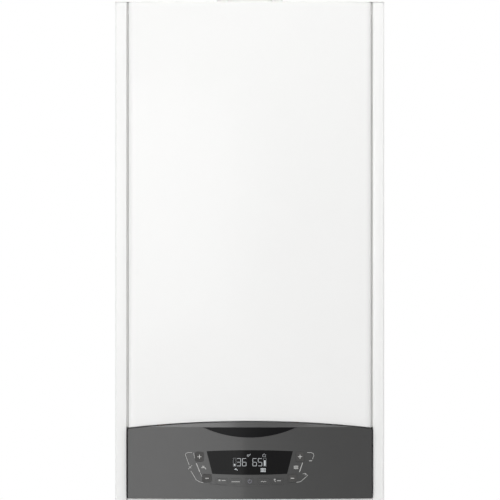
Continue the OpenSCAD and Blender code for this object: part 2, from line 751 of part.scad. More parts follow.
module flue_collar() placed() color("gainsboro") difference() {
    union() {
        rod_z(0, flue_y, casing_h, casing_h + 2, collar_r + 12);
        rod_z(0, flue_y, casing_h, casing_h + collar_h, collar_r);
        for (s = sides) rod_z(s * (collar_r + 6), flue_y, casing_h + 2, casing_h + 4, screw_head);
        for (s = sides) rod_z(s * 40, flue_y - 42, casing_h, casing_h + 9, 6);
    }
    difference() {
        rod_z(0, flue_y, casing_h - 1, casing_h + collar_h + 1, collar_r - 2);
        for (a = [30, 150, 270]) translate([0, flue_y, casing_h]) rotate([0, 0, a])
            slab([flue_bore_r + 1.5 + seat, -1, 0], [collar_r, 1, collar_h - 8]);
        for (s = sides) rod_z(s * 40, flue_y - 42, casing_h, casing_h + 9, 6);
    }
}

module vessel_half_shell(y_back, y_front, wall_back) {
    tall = vessel_z[1] - vessel_z[0];
    middle = (vessel_z[0] + vessel_z[1]) / 2;
    difference() {
        front_view(y_back, y_front) translate([0, middle])
            round_rect(2 * vessel_half, tall, vessel_corner);
        translate([0, wall_back ? -vessel_t : vessel_t, 0]) front_view(y_back, y_front)
            translate([0, middle])
            round_rect(2 * (vessel_half - vessel_t), tall - 2 * vessel_t, vessel_corner - vessel_t);
    }
}

module expansion_vessel() placed() color("firebrick") {
    split = vessel_back - vessel_d / 2;
    vessel_half_shell(vessel_back, split, true);
    difference() {
        vessel_half_shell(split - 2, vessel_front, false);
        rod_z(hose_x, pump_y, vessel_z[0] - 1, vessel_z[0] + 5, hose_r - 1.5);
    }
    for (s = sides, z = [vessel_z[0] + 60, vessel_z[1] - 60]) {
        slab([s * vessel_foot_x - 8, vessel_back, z - 15], [s * vessel_foot_x + 8, back - seat, z + 15]);
    }
}

module vessel_membrane() placed() color("black") {
    split = vessel_back - vessel_d / 2;
    front_view(split, split - 2) translate([0, (vessel_z[0] + vessel_z[1]) / 2])
        round_rect(2 * vessel_half, vessel_z[1] - vessel_z[0], vessel_corner);
}

module vessel_hose() placed() color("gray") {
    bent_tube([[hose_x, pump_y, vessel_z[0] - seat], [hose_x, pump_y, pump_z],
        [pipe_x - pump_r - 8 - seat, pump_y, pump_z]], hose_r, 1.5, 8);
}

module pump_body() placed() color("dimgray") difference() {
    union() {
        rod_y(pipe_x, pump_z, pump_back, pump_front, pump_r);
        rod_z(pipe_x, pump_y, pump_z - pump_r - 6, pump_z + pump_r + 6, pipe_r + 2);
        rod_x(pump_y, pump_z, pipe_x - pump_r - 8, pipe_x, 7);
        rod_z(pipe_x - 26, pump_y, pump_z, pump_z + pump_r + 4, 7);
    }
    rod_y(pipe_x, pump_z, pump_back - pump_wall, pump_front + pump_wall, pump_r - 6);
    rod_z(pipe_x, pump_y, pump_z - pump_r - 7, pump_z + pump_r + 7, pipe_r - pipe_t);
    rod_x(pump_y, pump_z, pipe_x - pump_r - 9, pipe_x, 3.5);
    rod_z(pipe_x - 26, pump_y, pump_z, pump_z + pump_r + 5, 3);
    rod_y(pipe_x, pump_z, pump_front + 10, pump_front - 1, shaft_r + running);
}

module pump_motor() placed() color("firebrick") difference() {
    rod_y(pipe_x, pump_z, pump_front - seat, motor_front, motor_r);
    rod_y(pipe_x, pump_z, pump_front - seat - 4, motor_front + 6, motor_r - 6);
    rod_y(pipe_x, pump_z, pump_front, motor_front + 2, shaft_r + running);
}

module pump_rotor() placed() color("silver") {
    rod_y(pipe_x, pump_z, pump_back - pump_wall - 2, motor_front + 2 + seat, shaft_r);
    rod_y(pipe_x, pump_z, pump_front - 12, motor_front + 12, motor_r - 11);
    rod_y(pipe_x, pump_z, pump_y + 6, pump_y + 4, pump_r - 12);
    for (i = [0 : 5]) translate([pipe_x, pump_y + 4, pump_z]) rotate([90, 60 * i, 0])
        slab([shaft_r - 1, -1, 0], [pump_r - 12, 1, 9]);
}

// A soldered bead that stops the union nut
module bead(x, y) difference() {
    rod_z(x, y, bead_z[0], bead_z[1], pipe_r + 1.5);
    rod_z(x, y, bead_z[0] - 1, bead_z[1] + 1, pipe_r - pipe_t);
}

module return_pipe() placed() color("peru") {
    low = 75;
    bent_tube([[pipe_x, -pipe_y, -pipe_drop], [pipe_x, -pipe_y, low], [pipe_x, pump_y, low],
        [pipe_x, pump_y, pump_z - pump_r - 6 - seat]], pipe_r, pipe_t, water_bend);
    bead(pipe_x, -pipe_y);
}

module riser_pipe() placed() color("peru") {
    high = chamber_z[0] - 37;
    bent_tube([[pipe_x, pump_y, pump_z + pump_r + 6 + seat], [pipe_x, pump_y, high],
        [pipe_x, -pipe_y, high], [pipe_x, -pipe_y, return_port_z],
        [port_reach + seat, -pipe_y, return_port_z]], pipe_r, pipe_t, water_bend);
}

module flow_pipe() placed() color("peru") {
    bent_tube([[-port_reach - seat, -pipe_y, flow_port_z], [-pipe_x, -pipe_y, flow_port_z],
        [-pipe_x, -pipe_y, block_z[1] + seat]], pipe_r, pipe_t, water_bend);
    bent_tube([[-pipe_x, -pipe_y, block_z[0] - seat], [-pipe_x, -pipe_y, -pipe_drop]],
        pipe_r, pipe_t, water_bend);
    bead(-pipe_x, -pipe_y);
}

module flow_block() placed() color("goldenrod") difference() {
    plan(block_z[0], block_z[1]) translate([-pipe_x, -pipe_y])
        round_rect(2 * block_half, 2 * block_half, 4);
    rod_z(-pipe_x, -pipe_y, block_z[0] - 1, block_z[1] + 1, pipe_r - pipe_t);
    rod_x(-pipe_y, (block_z[0] + block_z[1]) / 2, -pipe_x, -pipe_x + block_half + 1, 5);
}

module safety_valve() placed() color("goldenrod") {
    z = (block_z[0] + block_z[1]) / 2;
    difference() {
        union() {
            rod_x(-pipe_y, z, -pipe_x + block_half + seat, valve_x, 9);
            rod_y(valve_x, z, -pipe_y + 14, -pipe_y - 16, 13);
            rod_z(valve_x, -pipe_y, -pipe_drop + 10, z, discharge_r);
            rod_z(valve_x, -pipe_y, -6, -4, discharge_r + 1.5);
        }
        rod_x(-pipe_y, z, -pipe_x + block_half - 1, valve_x, 5);
        rod_z(valve_x, -pipe_y, -pipe_drop + 9, z, discharge_r - 1.5);
        rod_y(valve_x, z, -pipe_y - 6, -pipe_y - 17, shaft_r + running);
    }
}

module safety_knob() placed() color("red") {
    z = (block_z[0] + block_z[1]) / 2;
    difference() {
        rod_y(valve_x, z, -pipe_y - 16 - seat, -pipe_y - 32, 15);
        for (a = [0 : 30 : 330]) translate([valve_x, -pipe_y - 20, z]) rotate([90, a, 0])
            translate([16.5, 0, 0]) cylinder(h = 20, r = 3);
    }
    rod_y(valve_x, z, -pipe_y - 7, -pipe_y - 17, shaft_r);
}

module air_vent() placed() color("goldenrod") {
    foot = pump_z + pump_r + 4 + seat;
    rod_z(pipe_x - 26, pump_y, foot, foot + 28, 11);
    rod_z(pipe_x - 26, pump_y, foot + 28, foot + 34, 5);
}

module condensate_trap() placed() color("whitesmoke") difference() {
    top = exchanger_z - exchanger_r - 6 - seat;
    union() {
        rod_z(0, trap_y, trap_z[0], trap_z[1], trap_r);
        rod_z(0, trap_y, trap_z[1] - 1, top, trap_neck_r);
        rod_z(0, trap_y, -pipe_drop + 20, trap_z[0] + 1, trap_spout_r);
        rod_z(0, trap_y, -6, -4, trap_spout_r + 1.5);
    }
    rod_z(0, trap_y, trap_z[0] + 2, trap_z[1] - 2, trap_r - 2);
    rod_z(0, trap_y, trap_z[1] - 3, top + 1, trap_neck_r - 2);
    rod_z(0, trap_y, -pipe_drop + 19, trap_z[0] + 3, trap_spout_r - 2);
}

module union_nuts() placed() color("goldenrod") {
    for (at = [[pipe_x, -pipe_y, pipe_r], [-pipe_x, -pipe_y, pipe_r], [gas_x, gas_y, gas_r]]) difference() {
        translate([at.x, at.y, nut_z[0]]) cylinder(h = nut_z[1] - nut_z[0], r = at.z + 6, $fn = 6);
        rod_z(at.x, at.y, nut_z[0] - 1, nut_z[1] + 1, at.z + seat);
    }
}

module cable_gland() placed() color("black") difference() {
    union() {
        rod_z(gland_at.x, gland_at.y, -14, -seat, gland_r + 4);
        rod_z(gland_at.x, gland_at.y, -seat, base_t + seat, gland_r);
        rod_z(gland_at.x, gland_at.y, base_t + seat, base_t + 6, gland_r + 4);
    }
    rod_z(gland_at.x, gland_at.y, -15, base_t + 7, 4);
}

// The slots that the hinge brackets' ears pass through
module ear_slots(z_to) for (s = sides) {
    slab([s * (ear_x + ear_t / 2) - ear_t / 2 - 1.5, fascia_rear - 8, 0],
        [s * (ear_x + ear_t / 2) + ear_t / 2 + 1.5, fascia_rear + 1, z_to]);
}

module hinge_brackets() placed() color("silver") for (s = sides) {
    side_view(s > 0 ? ear_x : -ear_x - ear_t, s > 0 ? ear_x + ear_t : -ear_x) difference() {
        union() {
            translate([pivot_y, pivot_z]) circle(ear_r);
            translate([pivot_y, pivot_z - ear_r]) square([base_front + sheet_t + 5 - pivot_y, 2 * ear_r]);
            translate([base_front + sheet_t + seat, base_t]) square([5 - seat, pivot_z + ear_r - base_t]);
        }
        translate([pivot_y, pivot_z]) circle(pivot_r + running);
    }
    slab([s * (ear_x + ear_t / 2) - 6, base_front + sheet_t + 5, base_t],
        [s * (ear_x + ear_t / 2) + 6, base_front + sheet_t + 17, base_t + 2]);
}

module hinge_pins() placed() color("silver") for (s = sides) {
    rod_x(pivot_y, pivot_z, s > 0 ? ear_x - 17 : -ear_x - ear_t - 2,
        s > 0 ? ear_x + ear_t + 2 : -ear_x + 17, pivot_r);
}

module control_box() placed() color("dimgray") difference() {
    inside_r = face_r(fascia_bulge) - fascia_t;
    half = sqrt(pow(inside_r, 2) - pow(face_r(fascia_bulge) + fascia_crown - pivot_y + seat, 2));
    foot = fascia_z + fascia_t + seat;
    union() {
        difference() {
            slab([-half, fascia_rear - plate_t, foot], [half, fascia_rear, edge_mid_z - edge_drop - 4.2]);
            slab([-boss_x + 16, fascia_rear - plate_t - 1, boss_z[0] + 2],
                [boss_x - 16, fascia_rear + 1, boss_z[1] - 2]);
        }
        difference() {
            slab([-box_half, fascia_rear, box_z[0]], [box_half, box_rear, box_z[1]]);
            slab([-box_half + box_t, fascia_rear - 3, box_z[0] + box_t],
                [box_half - box_t, box_rear - box_t, box_z[1] - box_t]);
        }
        for (s = sides) {
            knuckle = s > 0 ? [ear_x - 18, ear_x - 2] : [-ear_x + 2, -ear_x + 18];
            rod_x(pivot_y, pivot_z, knuckle[0], knuckle[1], pivot_r + 1.6);
        }
        for (x = sides * (box_half - 12), z = [box_z[0] + 12, box_z[1] - 12]) {
            rod_y(x, z, box_rear - 1, box_rear - pillar_h, 4);
        }
    }
    for (s = sides) {
        bore = s > 0 ? [ear_x - 19, ear_x + 9] : [-ear_x - 9, -ear_x + 19];
        rod_x(pivot_y, pivot_z, bore[0], bore[1], pivot_r);
    }
    ear_slots(pivot_z + ear_r + 1.5);
}

module control_board() placed() color("darkgreen") {
    y = box_rear - pillar_h - seat;
    slab([-box_half + 5, y - board_t, box_z[0] + 5], [box_half - 5, y, box_z[1] - 5]);
    slab([-box_half + 17, y - 24, box_z[0] + 22], [-box_half + 52, y - board_t, box_z[0] + 56]);
    for (x = [-40 : 22 : 26]) {
        slab([x, y - 18, box_z[1] - 28], [x + 14, y - board_t, box_z[1] - 12]);
    }
    for (x = [-60 : 26 : 44]) {
        slab([x, y - 12, box_z[0] + 8], [x + 20, y - board_t, box_z[0] + 18]);
    }
    slab([box_half - 52, y - 20, box_z[0] + 26], [box_half - 17, y - board_t, box_z[0] + 52]);
}

module display_board() placed() color("darkgreen") {
    slab([-boss_x - 4, display_front, boss_z[0] - 4], [boss_x + 4, display_y, boss_z[1] + 4]);
    slab([-lens_low_half, display_front - 9, lens_z[0] + 2], [lens_low_half, display_front, lens_z[1] - 2]);
    for (key = keys) rod_y(key[0], key[1], display_front, display_front - 2, 2.5);
}

// The display window's outline: sides that lean outwards, and bowed edges above and below
module lens_shape(grow) intersection() {
    lean = (lens_top_half - lens_low_half) / (lens_z[1] - lens_z[0]);
    reach = lens_bow + grow + 1;
    low_half = lens_low_half + grow - reach * lean;
    top_half = lens_top_half + grow + reach * lean;
    top_r = (pow(lens_top_half, 2) + pow(lens_bow, 2)) / (2 * lens_bow);
    low_r = (pow(lens_low_half, 2) + pow(lens_bow, 2)) / (2 * lens_bow);
    polygon([[-low_half, lens_z[0] - reach], [low_half, lens_z[0] - reach],
        [top_half, lens_z[1] + reach], [-top_half, lens_z[1] + reach]]);
    translate([0, lens_z[1] + lens_bow - top_r]) circle(top_r + grow, $fn = round_fn);
    translate([0, lens_z[0] - lens_bow + low_r]) circle(low_r + grow, $fn = round_fn);
}

module display_lens() placed() color("black") intersection() {
    front_view(fascia_edge_y + 1, fascia_crown - 10) lens_shape(0);
    difference() {
        fascia_form(0, fascia_rear, lens_z[0] - 8, lens_z[1] + 8);
        fascia_form(-lens_t, fascia_rear + 1, lens_z[0] - 9, lens_z[1] + 9);
    }
}

// The crescent that holds the blank badge
module badge_shape() intersection() {
    r = (badge_half * badge_half + badge_h * badge_h) / (2 * badge_h);
    low = bevel_z - badge_drop - badge_h;
    translate([0, low + r]) circle(r, $fn = 180);
    translate([-badge_half - 5, low - 1]) square([2 * badge_half + 10, badge_h + 1]);
}

module key_shape(key, grow) translate([key[0], key[1]]) round_rect(key[2] + 2 * grow, key[3] + 2 * grow, 2);

module fascia() placed() color("dimgray") difference() {
    union() {
        difference() {
            intersection() {
                fascia_form(0, fascia_rear, fascia_z, edge_mid_z + 5);
                edge_arc(-fascia_gap, fascia_rear + 20);
                bevel(0);
            }
            intersection() {
                fascia_form(-fascia_t, fascia_rear + 1, fascia_z + fascia_t, edge_mid_z + 5);
                edge_arc(-fascia_gap - fascia_t, fascia_rear + 20);
                bevel(-fascia_t);
            }
        }
        intersection() {
            for (x = sides * boss_x, z = boss_z) rod_y(x, z, display_front, fascia_crown, 2.5);
            fascia_form(-fascia_t / 2, fascia_rear, fascia_z, edge_mid_z);
        }
    }
    front_view(face_cut_y, fascia_crown - 10) lens_shape(0.15);
    for (key = keys) front_view(face_cut_y, fascia_crown - 10) key_shape(key, key_gap);
    difference() {
        front_view(face_cut_y, fascia_crown - 10) badge_shape();
        fascia_form(-badge_depth, fascia_rear, fascia_z, edge_mid_z);
    }
    ear_slots(pivot_z);
}

module key(i) placed() color("gray") {
    intersection() {
        front_view(fascia_edge_y + 1, fascia_crown - 10) key_shape(keys[i], 0);
        difference() {
            fascia_form(key_proud, fascia_rear, fascia_z, lens_z[1] + 10);
            fascia_form(-fascia_t - seat - 1.2, fascia_rear + 1, fascia_z - 1, lens_z[1] + 11);
        }
    }
    intersection() {
        front_view(fascia_edge_y + 1, fascia_crown - 10) key_shape(keys[i], 1);
        difference() {
            fascia_form(-fascia_t - seat, fascia_rear, fascia_z, lens_z[1] + 10);
            fascia_form(-fascia_t - seat - 1.2, fascia_rear + 1, fascia_z - 1, lens_z[1] + 11);
        }
    }
    intersection() {
        rod_y(keys[i][0], keys[i][1], display_front - 2 - key_travel - 0.2, fascia_crown, 1.8);
        fascia_form(-fascia_t - seat, fascia_rear, fascia_z, lens_z[1] + 10);
    }
}

module key_water_plus() key(0);

module key_water_minus() key(1);

module key_heating_plus() key(2);

module key_heating_minus() key(3);

module key_mode() key(4);

module key_menu() key(5);

module key_power() key(6);

module key_auto() key(7);

module key_comfort() key(8);

wall_bracket();
back_frame();
wall_buffers();
side_panel_left();
side_panel_right();
casing_screws();
top_panel();
base_plate();
cross_rail();
front_panel();
panel_clips();
panel_studs();
captive_screws();
chamber_box();
chamber_cover();
exchanger_shell();
exchanger_coil();
burner_door();
burner();
electrode();
mixture_duct();
fan_housing();
fan_motor();
fan_rotor();
gas_valve();
gas_pipe();
flue_pipe();
flue_collar();
expansion_vessel();
vessel_membrane();
vessel_hose();
pump_body();
pump_motor();
pump_rotor();
return_pipe();
riser_pipe();
flow_pipe();
flow_block();
safety_valve();
safety_knob();
air_vent();
condensate_trap();
union_nuts();
cable_gland();
hinge_brackets();
hinge_pins();
control_box();
control_board();
display_board();
display_lens();
fascia();
key_water_plus();
key_water_minus();
key_heating_plus();
key_heating_minus();
key_mode();
key_menu();
key_power();
key_auto();
key_comfort();
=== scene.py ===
import math
import bmesh
import bpy
from mathutils import Matrix, Vector


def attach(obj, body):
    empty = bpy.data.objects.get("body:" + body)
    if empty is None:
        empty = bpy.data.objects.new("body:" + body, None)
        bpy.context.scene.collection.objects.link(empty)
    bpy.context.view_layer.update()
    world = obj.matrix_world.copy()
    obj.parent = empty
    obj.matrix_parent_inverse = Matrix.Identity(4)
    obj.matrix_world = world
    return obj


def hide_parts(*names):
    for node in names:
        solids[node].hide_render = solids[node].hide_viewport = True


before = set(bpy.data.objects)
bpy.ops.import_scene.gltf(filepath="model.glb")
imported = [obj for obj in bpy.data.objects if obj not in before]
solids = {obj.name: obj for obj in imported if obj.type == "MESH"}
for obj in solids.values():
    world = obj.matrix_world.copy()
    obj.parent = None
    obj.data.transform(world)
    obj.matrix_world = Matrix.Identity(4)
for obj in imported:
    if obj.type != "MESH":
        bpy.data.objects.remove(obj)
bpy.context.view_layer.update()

# The studio: a pale floor below the boiler, a white surround, one large soft light on the left,
# and a long lens straight in front of the casing.
FOOT = -0.675

bpy.context.scene.view_settings.view_transform = "Standard"


def linear(*levels):
    """A colour given in screen levels from 0 to 255, as the shaders want it."""
    return tuple((v / 255 / 12.92) if v < 10.3 else ((v / 255 + 0.055) / 1.055) ** 2.4 for v in levels) + (1,)


class Wire:
    """One output of a shader node. Arithmetic on it adds the Math nodes."""

    def __init__(self, socket):
        self.socket = socket

    def math(self, operation, *values):
        node = self.socket.id_data.nodes.new("ShaderNodeMath")
        node.operation = operation
        for socket, value in zip(node.inputs, (self, *values)):
            plug(socket, value)
        return Wire(node.outputs[0])

    def __add__(self, other):
        return self.math("ADD", other)

    def __sub__(self, other):
        return self.math("SUBTRACT", other)

    def __mul__(self, other):
        return self.math("MULTIPLY", other)

    def __rsub__(self, other):
        return (self * -1).math("ADD", other)

    __radd__ = __add__
    __rmul__ = __mul__

    def step(self, edge, softness):
        """0 below the edge and 1 above it, with a soft change of that width."""
        return ((self - (edge - softness / 2)) * (1 / softness)).math("MAXIMUM", 0).math("MINIMUM", 1)


def plug(socket, value):
    if isinstance(value, Wire):
        socket.id_data.links.new(value.socket, socket)
    else:
        socket.default_value = value


class Finish:
    """A material with one Principled shader, read in the piece's own Object coordinates."""

    def __init__(self, name, **fixed):
        self.material = bpy.data.materials.new(name)
        self.material.use_nodes = True
        self.tree = self.material.node_tree
        self.shader = self.tree.nodes["Principled BSDF"]
        self.place = self.add("TexCoord", output="Object")
        self.set({key.replace("_", " ").title().replace("Ior", "IOR"): v for key, v in fixed.items()})

    def add(self, kind, settings=None, inputs=None, output=0):
        """Adds a node: its settings first, then the values or wires of its sockets."""
        node = self.tree.nodes.new("ShaderNode" + kind)
        for key, value in (settings or {}).items():
            if key == "stops":
                ramp = node.color_ramp
                while len(ramp.elements) < len(value):
                    ramp.elements.new(0.5)
                for stop, (at, colour) in zip(ramp.elements, value):
                    stop.position, stop.color = at, colour
            else:
                setattr(node, key, value)
        for key, value in (inputs or {}).items():
            plug(node.inputs[key], value)
        return Wire(node.outputs[output])

    def set(self, inputs):
        for key, value in inputs.items():
            plug(self.shader.inputs[key], value)
        return self

    def noise(self, size, detail=2.0, stretch=None, output=0):
        """Cloudy noise whose blobs are about size metres across, longer along a stretched axis."""
        where = self.place
        if stretch:
            where = self.add("Mapping", inputs={"Vector": where, "Scale": stretch})
        return self.add("TexNoise", inputs={"Vector": where, "Scale": 1 / size, "Detail": detail}, output=output)

    def blend(self, mask, low, high):
        """The colour low where the mask is 0 and high where it is 1."""
        return self.add("Mix", {"data_type": "RGBA"}, {0: mask, 6: low, 7: high}, output=2)

    def bump(self, height, depth):
        """Lets height, from 0 to 1, stand depth metres proud."""
        self.set({"Normal": self.add("Bump", inputs={"Height": height, "Distance": depth, "Strength": 1.0})})
        return self


def aimed(thing, place, target):
    thing.location = place
    thing.rotation_euler = (Vector(target) - Vector(place)).to_track_quat("-Z", "Y").to_euler()
    bpy.context.scene.collection.objects.link(thing)
    return thing


lens = bpy.data.cameras.new("camera")
lens.sensor_width = 36
lens.lens = 36 * 8.0 / 0.7421
lens.clip_end = 100
camera = aimed(bpy.data.objects.new("camera", lens), (0.0004, -8.31, -0.2996), (0.0004, 0, -0.2996))
bpy.context.scene.camera = camera

surround = bpy.data.worlds.new("surround")
surround.use_nodes = True
bpy.context.scene.world = surround
sky = surround.node_tree.nodes["Background"]
rays = surround.node_tree.nodes.new("ShaderNodeLightPath")
seen = Wire(rays.outputs["Is Camera Ray"]).math("MAXIMUM", Wire(rays.outputs["Is Glossy Ray"]))
seen = seen.math("MAXIMUM", Wire(rays.outputs["Is Transmission Ray"]))
sky.inputs["Color"].default_value = (1, 1, 1, 1)
plug(sky.inputs["Strength"], seen * 0.57 + 0.43)


def soft_light(name, place, target, width, height, power):
    """A rectangular soft light aimed at a point."""
    lamp = bpy.data.lights.new(name, "AREA")
    lamp.shape, lamp.size, lamp.size_y, lamp.energy = "RECTANGLE", width, height, power
    aimed(bpy.data.objects.new(name, lamp), place, target)


soft_light("softbox_left", (-3.2, -8.7, -0.3), (0, -0.3, -0.3), 6.4, 4.0, 238)
soft_light("fill_right", (3.0, -2.6, 2.0), (0, -0.3, -0.3), 1.6, 1.8, 41)
soft_light("fill_left", (-2.6, -2.8, -1.6), (0, -0.3, -0.3), 1.2, 1.2, 19)
soft_light("overhead", (-0.8, -0.8, 2.4), (-0.15, -0.3, -0.3), 1.8, 0.6, 24)
soft_light("overhead_right", (0.75, -0.8, 2.4), (0.15, -0.3, -0.3), 0.9, 0.6, 6.5)

bm = bmesh.new()
bmesh.ops.create_grid(bm, x_segments=1, y_segments=1, size=16, matrix=Matrix.Translation((0, 0, -1.9)))
mesh = bpy.data.meshes.new("floor")
bm.to_mesh(mesh)
bm.free()
floor_paint = Finish("floor_paint", roughness=0.7, emission_strength=0.71)
looked_at = floor_paint.add("LightPath", output="Is Camera Ray")
for ray in ("Is Glossy Ray", "Is Transmission Ray"):
    looked_at = looked_at.math("MAXIMUM", floor_paint.add("LightPath", output=ray))
floor_paint.set({
    "Base Color": floor_paint.blend(floor_paint.noise(0.4), linear(236, 236, 236), linear(240, 240, 240)),
    "Emission Color": floor_paint.blend(looked_at, (0, 0, 0, 1), (1, 1, 1, 1)),
    "Alpha": 1 - floor_paint.add("NewGeometry", output="Backfacing"),
})
mesh.materials.append(floor_paint.material)
floor = bpy.data.objects.new("floor", mesh)
bpy.context.scene.collection.objects.link(floor)

# Side panels: 1 mm sheet steel folded round the front into the two narrow strips, and round the
# back into the flange that the screws hold. White powder coat with a faint orange peel.


def powder_coat(name, shade):
    paint = Finish(name, specular_ior_level=0.36, coat_weight=0.15, coat_roughness=0.1)
    cloud = paint.noise(0.09, 3)
    low = tuple(v * 0.985 for v in shade[:3]) + (1,)
    paint.set({"Base Color": paint.blend(cloud, low, shade), "Roughness": 0.33 + cloud * 0.07})
    return paint.bump(paint.noise(0.0016, 1), 0.000006)


white_paint = powder_coat("white_powder_coat", linear(243, 243, 242))


def make_piece(name, bm, body, finish, stands_for=(), sharp=35):
    """Turns a bmesh into a piece that rides on a body, smooth apart from its sharp edges."""
    mesh = bpy.data.meshes.new(name)
    bm.to_mesh(mesh)
    bm.free()
    mesh.shade_smooth()
    mesh.set_sharp_from_angle(angle=math.radians(sharp))
    mesh.materials.append(finish.material)
    piece = bpy.data.objects.new(name, mesh)
    bpy.context.scene.collection.objects.link(piece)
    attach(piece, body)
    if stands_for:
        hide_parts(*stands_for)
    return piece


def next_row(bm, edges, place):
    """Extrudes a row of edges once and puts each new vertex where place says."""
    made = bmesh.ops.extrude_edge_only(bm, edges=edges)["geom"]
    fresh = {v for v in made if isinstance(v, bmesh.types.BMVert)}
    for v in fresh:
        v.co = place(v.co)
    return [e for e in bm.edges if e.verts[0] in fresh and e.verts[1] in fresh]


def folded_line(bm, points, folds, steps=6):
    """A line of edges through the points, with each of its inner corners folded to its own radius."""
    chain = [bm.verts.new(p) for p in points]
    for pair in zip(chain, chain[1:]):
        bm.edges.new(pair)
    for corner, fold in zip(chain[1:-1], folds):
        bmesh.ops.bevel(bm, geom=[corner], offset=fold, affect="VERTICES", segments=steps, profile=0.5, material=-1)
    return list(bm.edges)


def sheet_of(piece, thickness, side, rounding):
    """Gives a surface its sheet's thickness and softens the cut edges."""
    wall = piece.modifiers.new("sheet", "SOLIDIFY")
    wall.thickness, wall.offset, wall.use_even_offset = thickness, side, True
    edge = piece.modifiers.new("cut_edge", "BEVEL")
    edge.width, edge.segments, edge.limit_method, edge.angle_limit = rounding, 2, "ANGLE", math.radians(50)


for side, node in ((-1, "side_panel_left"), (1, "side_panel_right")):
    bm = bmesh.new()
    plan = [(0.187, -0.0148), (0.1995, -0.0148), (0.1995, -0.2955), (0.1835, -0.2955), (0.1835, -0.284)]
    row = folded_line(bm, [(side * x, y, FOOT) for x, y in plan], (0.0025, 0.0025, 0.0011))
    next_row(bm, row, lambda co: co + Vector((0, 0, 0.7435)))
    bmesh.ops.recalc_face_normals(bm, faces=bm.faces)
    skin = make_piece(node + "_skin", bm, "chassis", white_paint, [node])
    sheet_of(skin, 0.001, 0, 0.0003)

# Front panel: one pressed sheet whose face bulges forwards, with long rounded edges, a closed
# top and a lower edge cut along the long arc. The same white powder coat.
PANEL_HALF = 0.1805
ARC_TOP = FOOT + 0.1215
ARC_R = (PANEL_HALF**2 + 0.0103**2) / (2 * 0.0103)


def arc_height(x, gap=0.0):
    return ARC_TOP - ARC_R + math.sqrt((ARC_R - gap) ** 2 - x * x)


def face_radius(bulge):
    return (PANEL_HALF**2 + bulge**2) / (2 * bulge)


def bulged_line(bm, crown, bulge, half, edge_r, rear, z):
    """The plan of a bulged face, spun from one vertex: side, corner, face, corner, side."""
    r = face_radius(bulge)
    middle = crown + r
    corner_x = half - edge_r
    corner_y = middle - math.sqrt((r - edge_r) ** 2 - corner_x**2)
    lean = math.asin(corner_x / (r - edge_r))
    first = bm.verts.new((-half, rear, z))
    last = bm.verts.new((-half, corner_y, z))
    bm.edges.new((first, last))
    for cent, angle, steps in (
        ((-corner_x, corner_y, z), math.pi / 2 - lean, 10),
        ((0, middle, z), 2 * lean, 96),
        ((corner_x, corner_y, z), math.pi / 2 - lean, 10),
    ):
        made = bmesh.ops.spin(bm, geom=[last], cent=cent, axis=(0, 0, 1), angle=angle, steps=steps)
        last = next(v for v in made["geom_last"] if isinstance(v, bmesh.types.BMVert))
    bm.edges.new((last, bm.verts.new((half, rear, z))))
    return list(bm.edges)


bm = bmesh.new()
PANEL_REAR = -0.289
top_row = bulged_line(bm, -0.311, 0.011, PANEL_HALF, 0.009, PANEL_REAR, FOOT + 0.7434)
low_row = next_row(bm, top_row, lambda co: Vector((co.x, co.y, arc_height(co.x))))
next_row(bm, low_row, lambda co: Vector((co.x, PANEL_REAR, co.z)))
next_row(bm, top_row, lambda co: Vector((co.x, PANEL_REAR, co.z)))
bmesh.ops.remove_doubles(bm, verts=bm.verts, dist=1e-6)
bmesh.ops.recalc_face_normals(bm, faces=bm.faces)
folds = [e for e in bm.edges if len(e.link_faces) == 2 and e.calc_face_angle(0) > math.radians(60)]
bmesh.ops.bevel(bm, geom=folds, offset=0.0012, affect="EDGES", segments=3, profile=0.5, material=-1)
front_panel = make_piece("front_panel_skin", bm, "front_panel_body", white_paint, ["front_panel"])
sheet_of(front_panel, 0.001, -1, 0.0002)

# Every solid that keeps its CAD shape gets its real finish, and the plain ones soft edges.


def soften(node, body, finish, width=0.0004, segments=2):
    """Stands a welded copy of a solid in its place, with its sharp edges rounded."""
    bm = bmesh.new()
    bm.from_mesh(solids[node].data)
    bmesh.ops.remove_doubles(bm, verts=bm.verts, dist=1e-5)
    bmesh.ops.dissolve_limit(bm, angle_limit=math.radians(0.5), verts=bm.verts, edges=bm.edges)
    piece = make_piece(node + "_part", bm, body, finish, [node])
    edge = piece.modifiers.new("edge", "BEVEL")
    edge.width, edge.segments, edge.limit_method, edge.angle_limit = width, segments, "ANGLE", math.radians(40)
    edge.harden_normals = True
    return piece


def coat(node, finish):
    solids[node].data.materials.clear()
    solids[node].data.materials.append(finish.material)


soften("top_panel", "chassis", white_paint, 0.0003)
soften("base_plate", "chassis", white_paint, 0.0003)

# Galvanised sheet: the back frame, wall bracket and rail, with the spangle of hot-dip zinc.
zinc = Finish("galvanised_sheet", metallic=1.0)
spangle = zinc.add("TexVoronoi", {"feature": "F1"}, {"Vector": zinc.place, "Scale": 210.0}, output="Color")
spangle = zinc.add("SeparateColor", inputs={0: spangle})
zinc.set({
    "Base Color": zinc.blend(spangle, linear(184, 187, 190), linear(200, 203, 206)),
    "Roughness": 0.34 + spangle * 0.16 + zinc.noise(0.02) * 0.06,
})
zinc.bump(spangle + zinc.noise(0.0012) * 0.4, 0.00001)
for node in ("back_frame", "wall_bracket", "cross_rail"):
    soften(node, "chassis", zinc, 0.0003)

# Chamber box and cover: aluminised steel sheet, satin, with faint rolling lines.
sheet_steel = Finish("aluminised_sheet", metallic=1.0)
rolling = sheet_steel.noise(0.0015, 2, stretch=(1, 1, 0.02))
sheet_steel.set({
    "Base Color": sheet_steel.blend(sheet_steel.noise(0.06), linear(188, 190, 192), linear(206, 207, 208)),
    "Roughness": 0.36 + rolling * 0.12,
})
sheet_steel.bump(rolling, 0.000006)
soften("chamber_cover", "chassis", sheet_steel, 0.0003)
coat("chamber_box", sheet_steel)

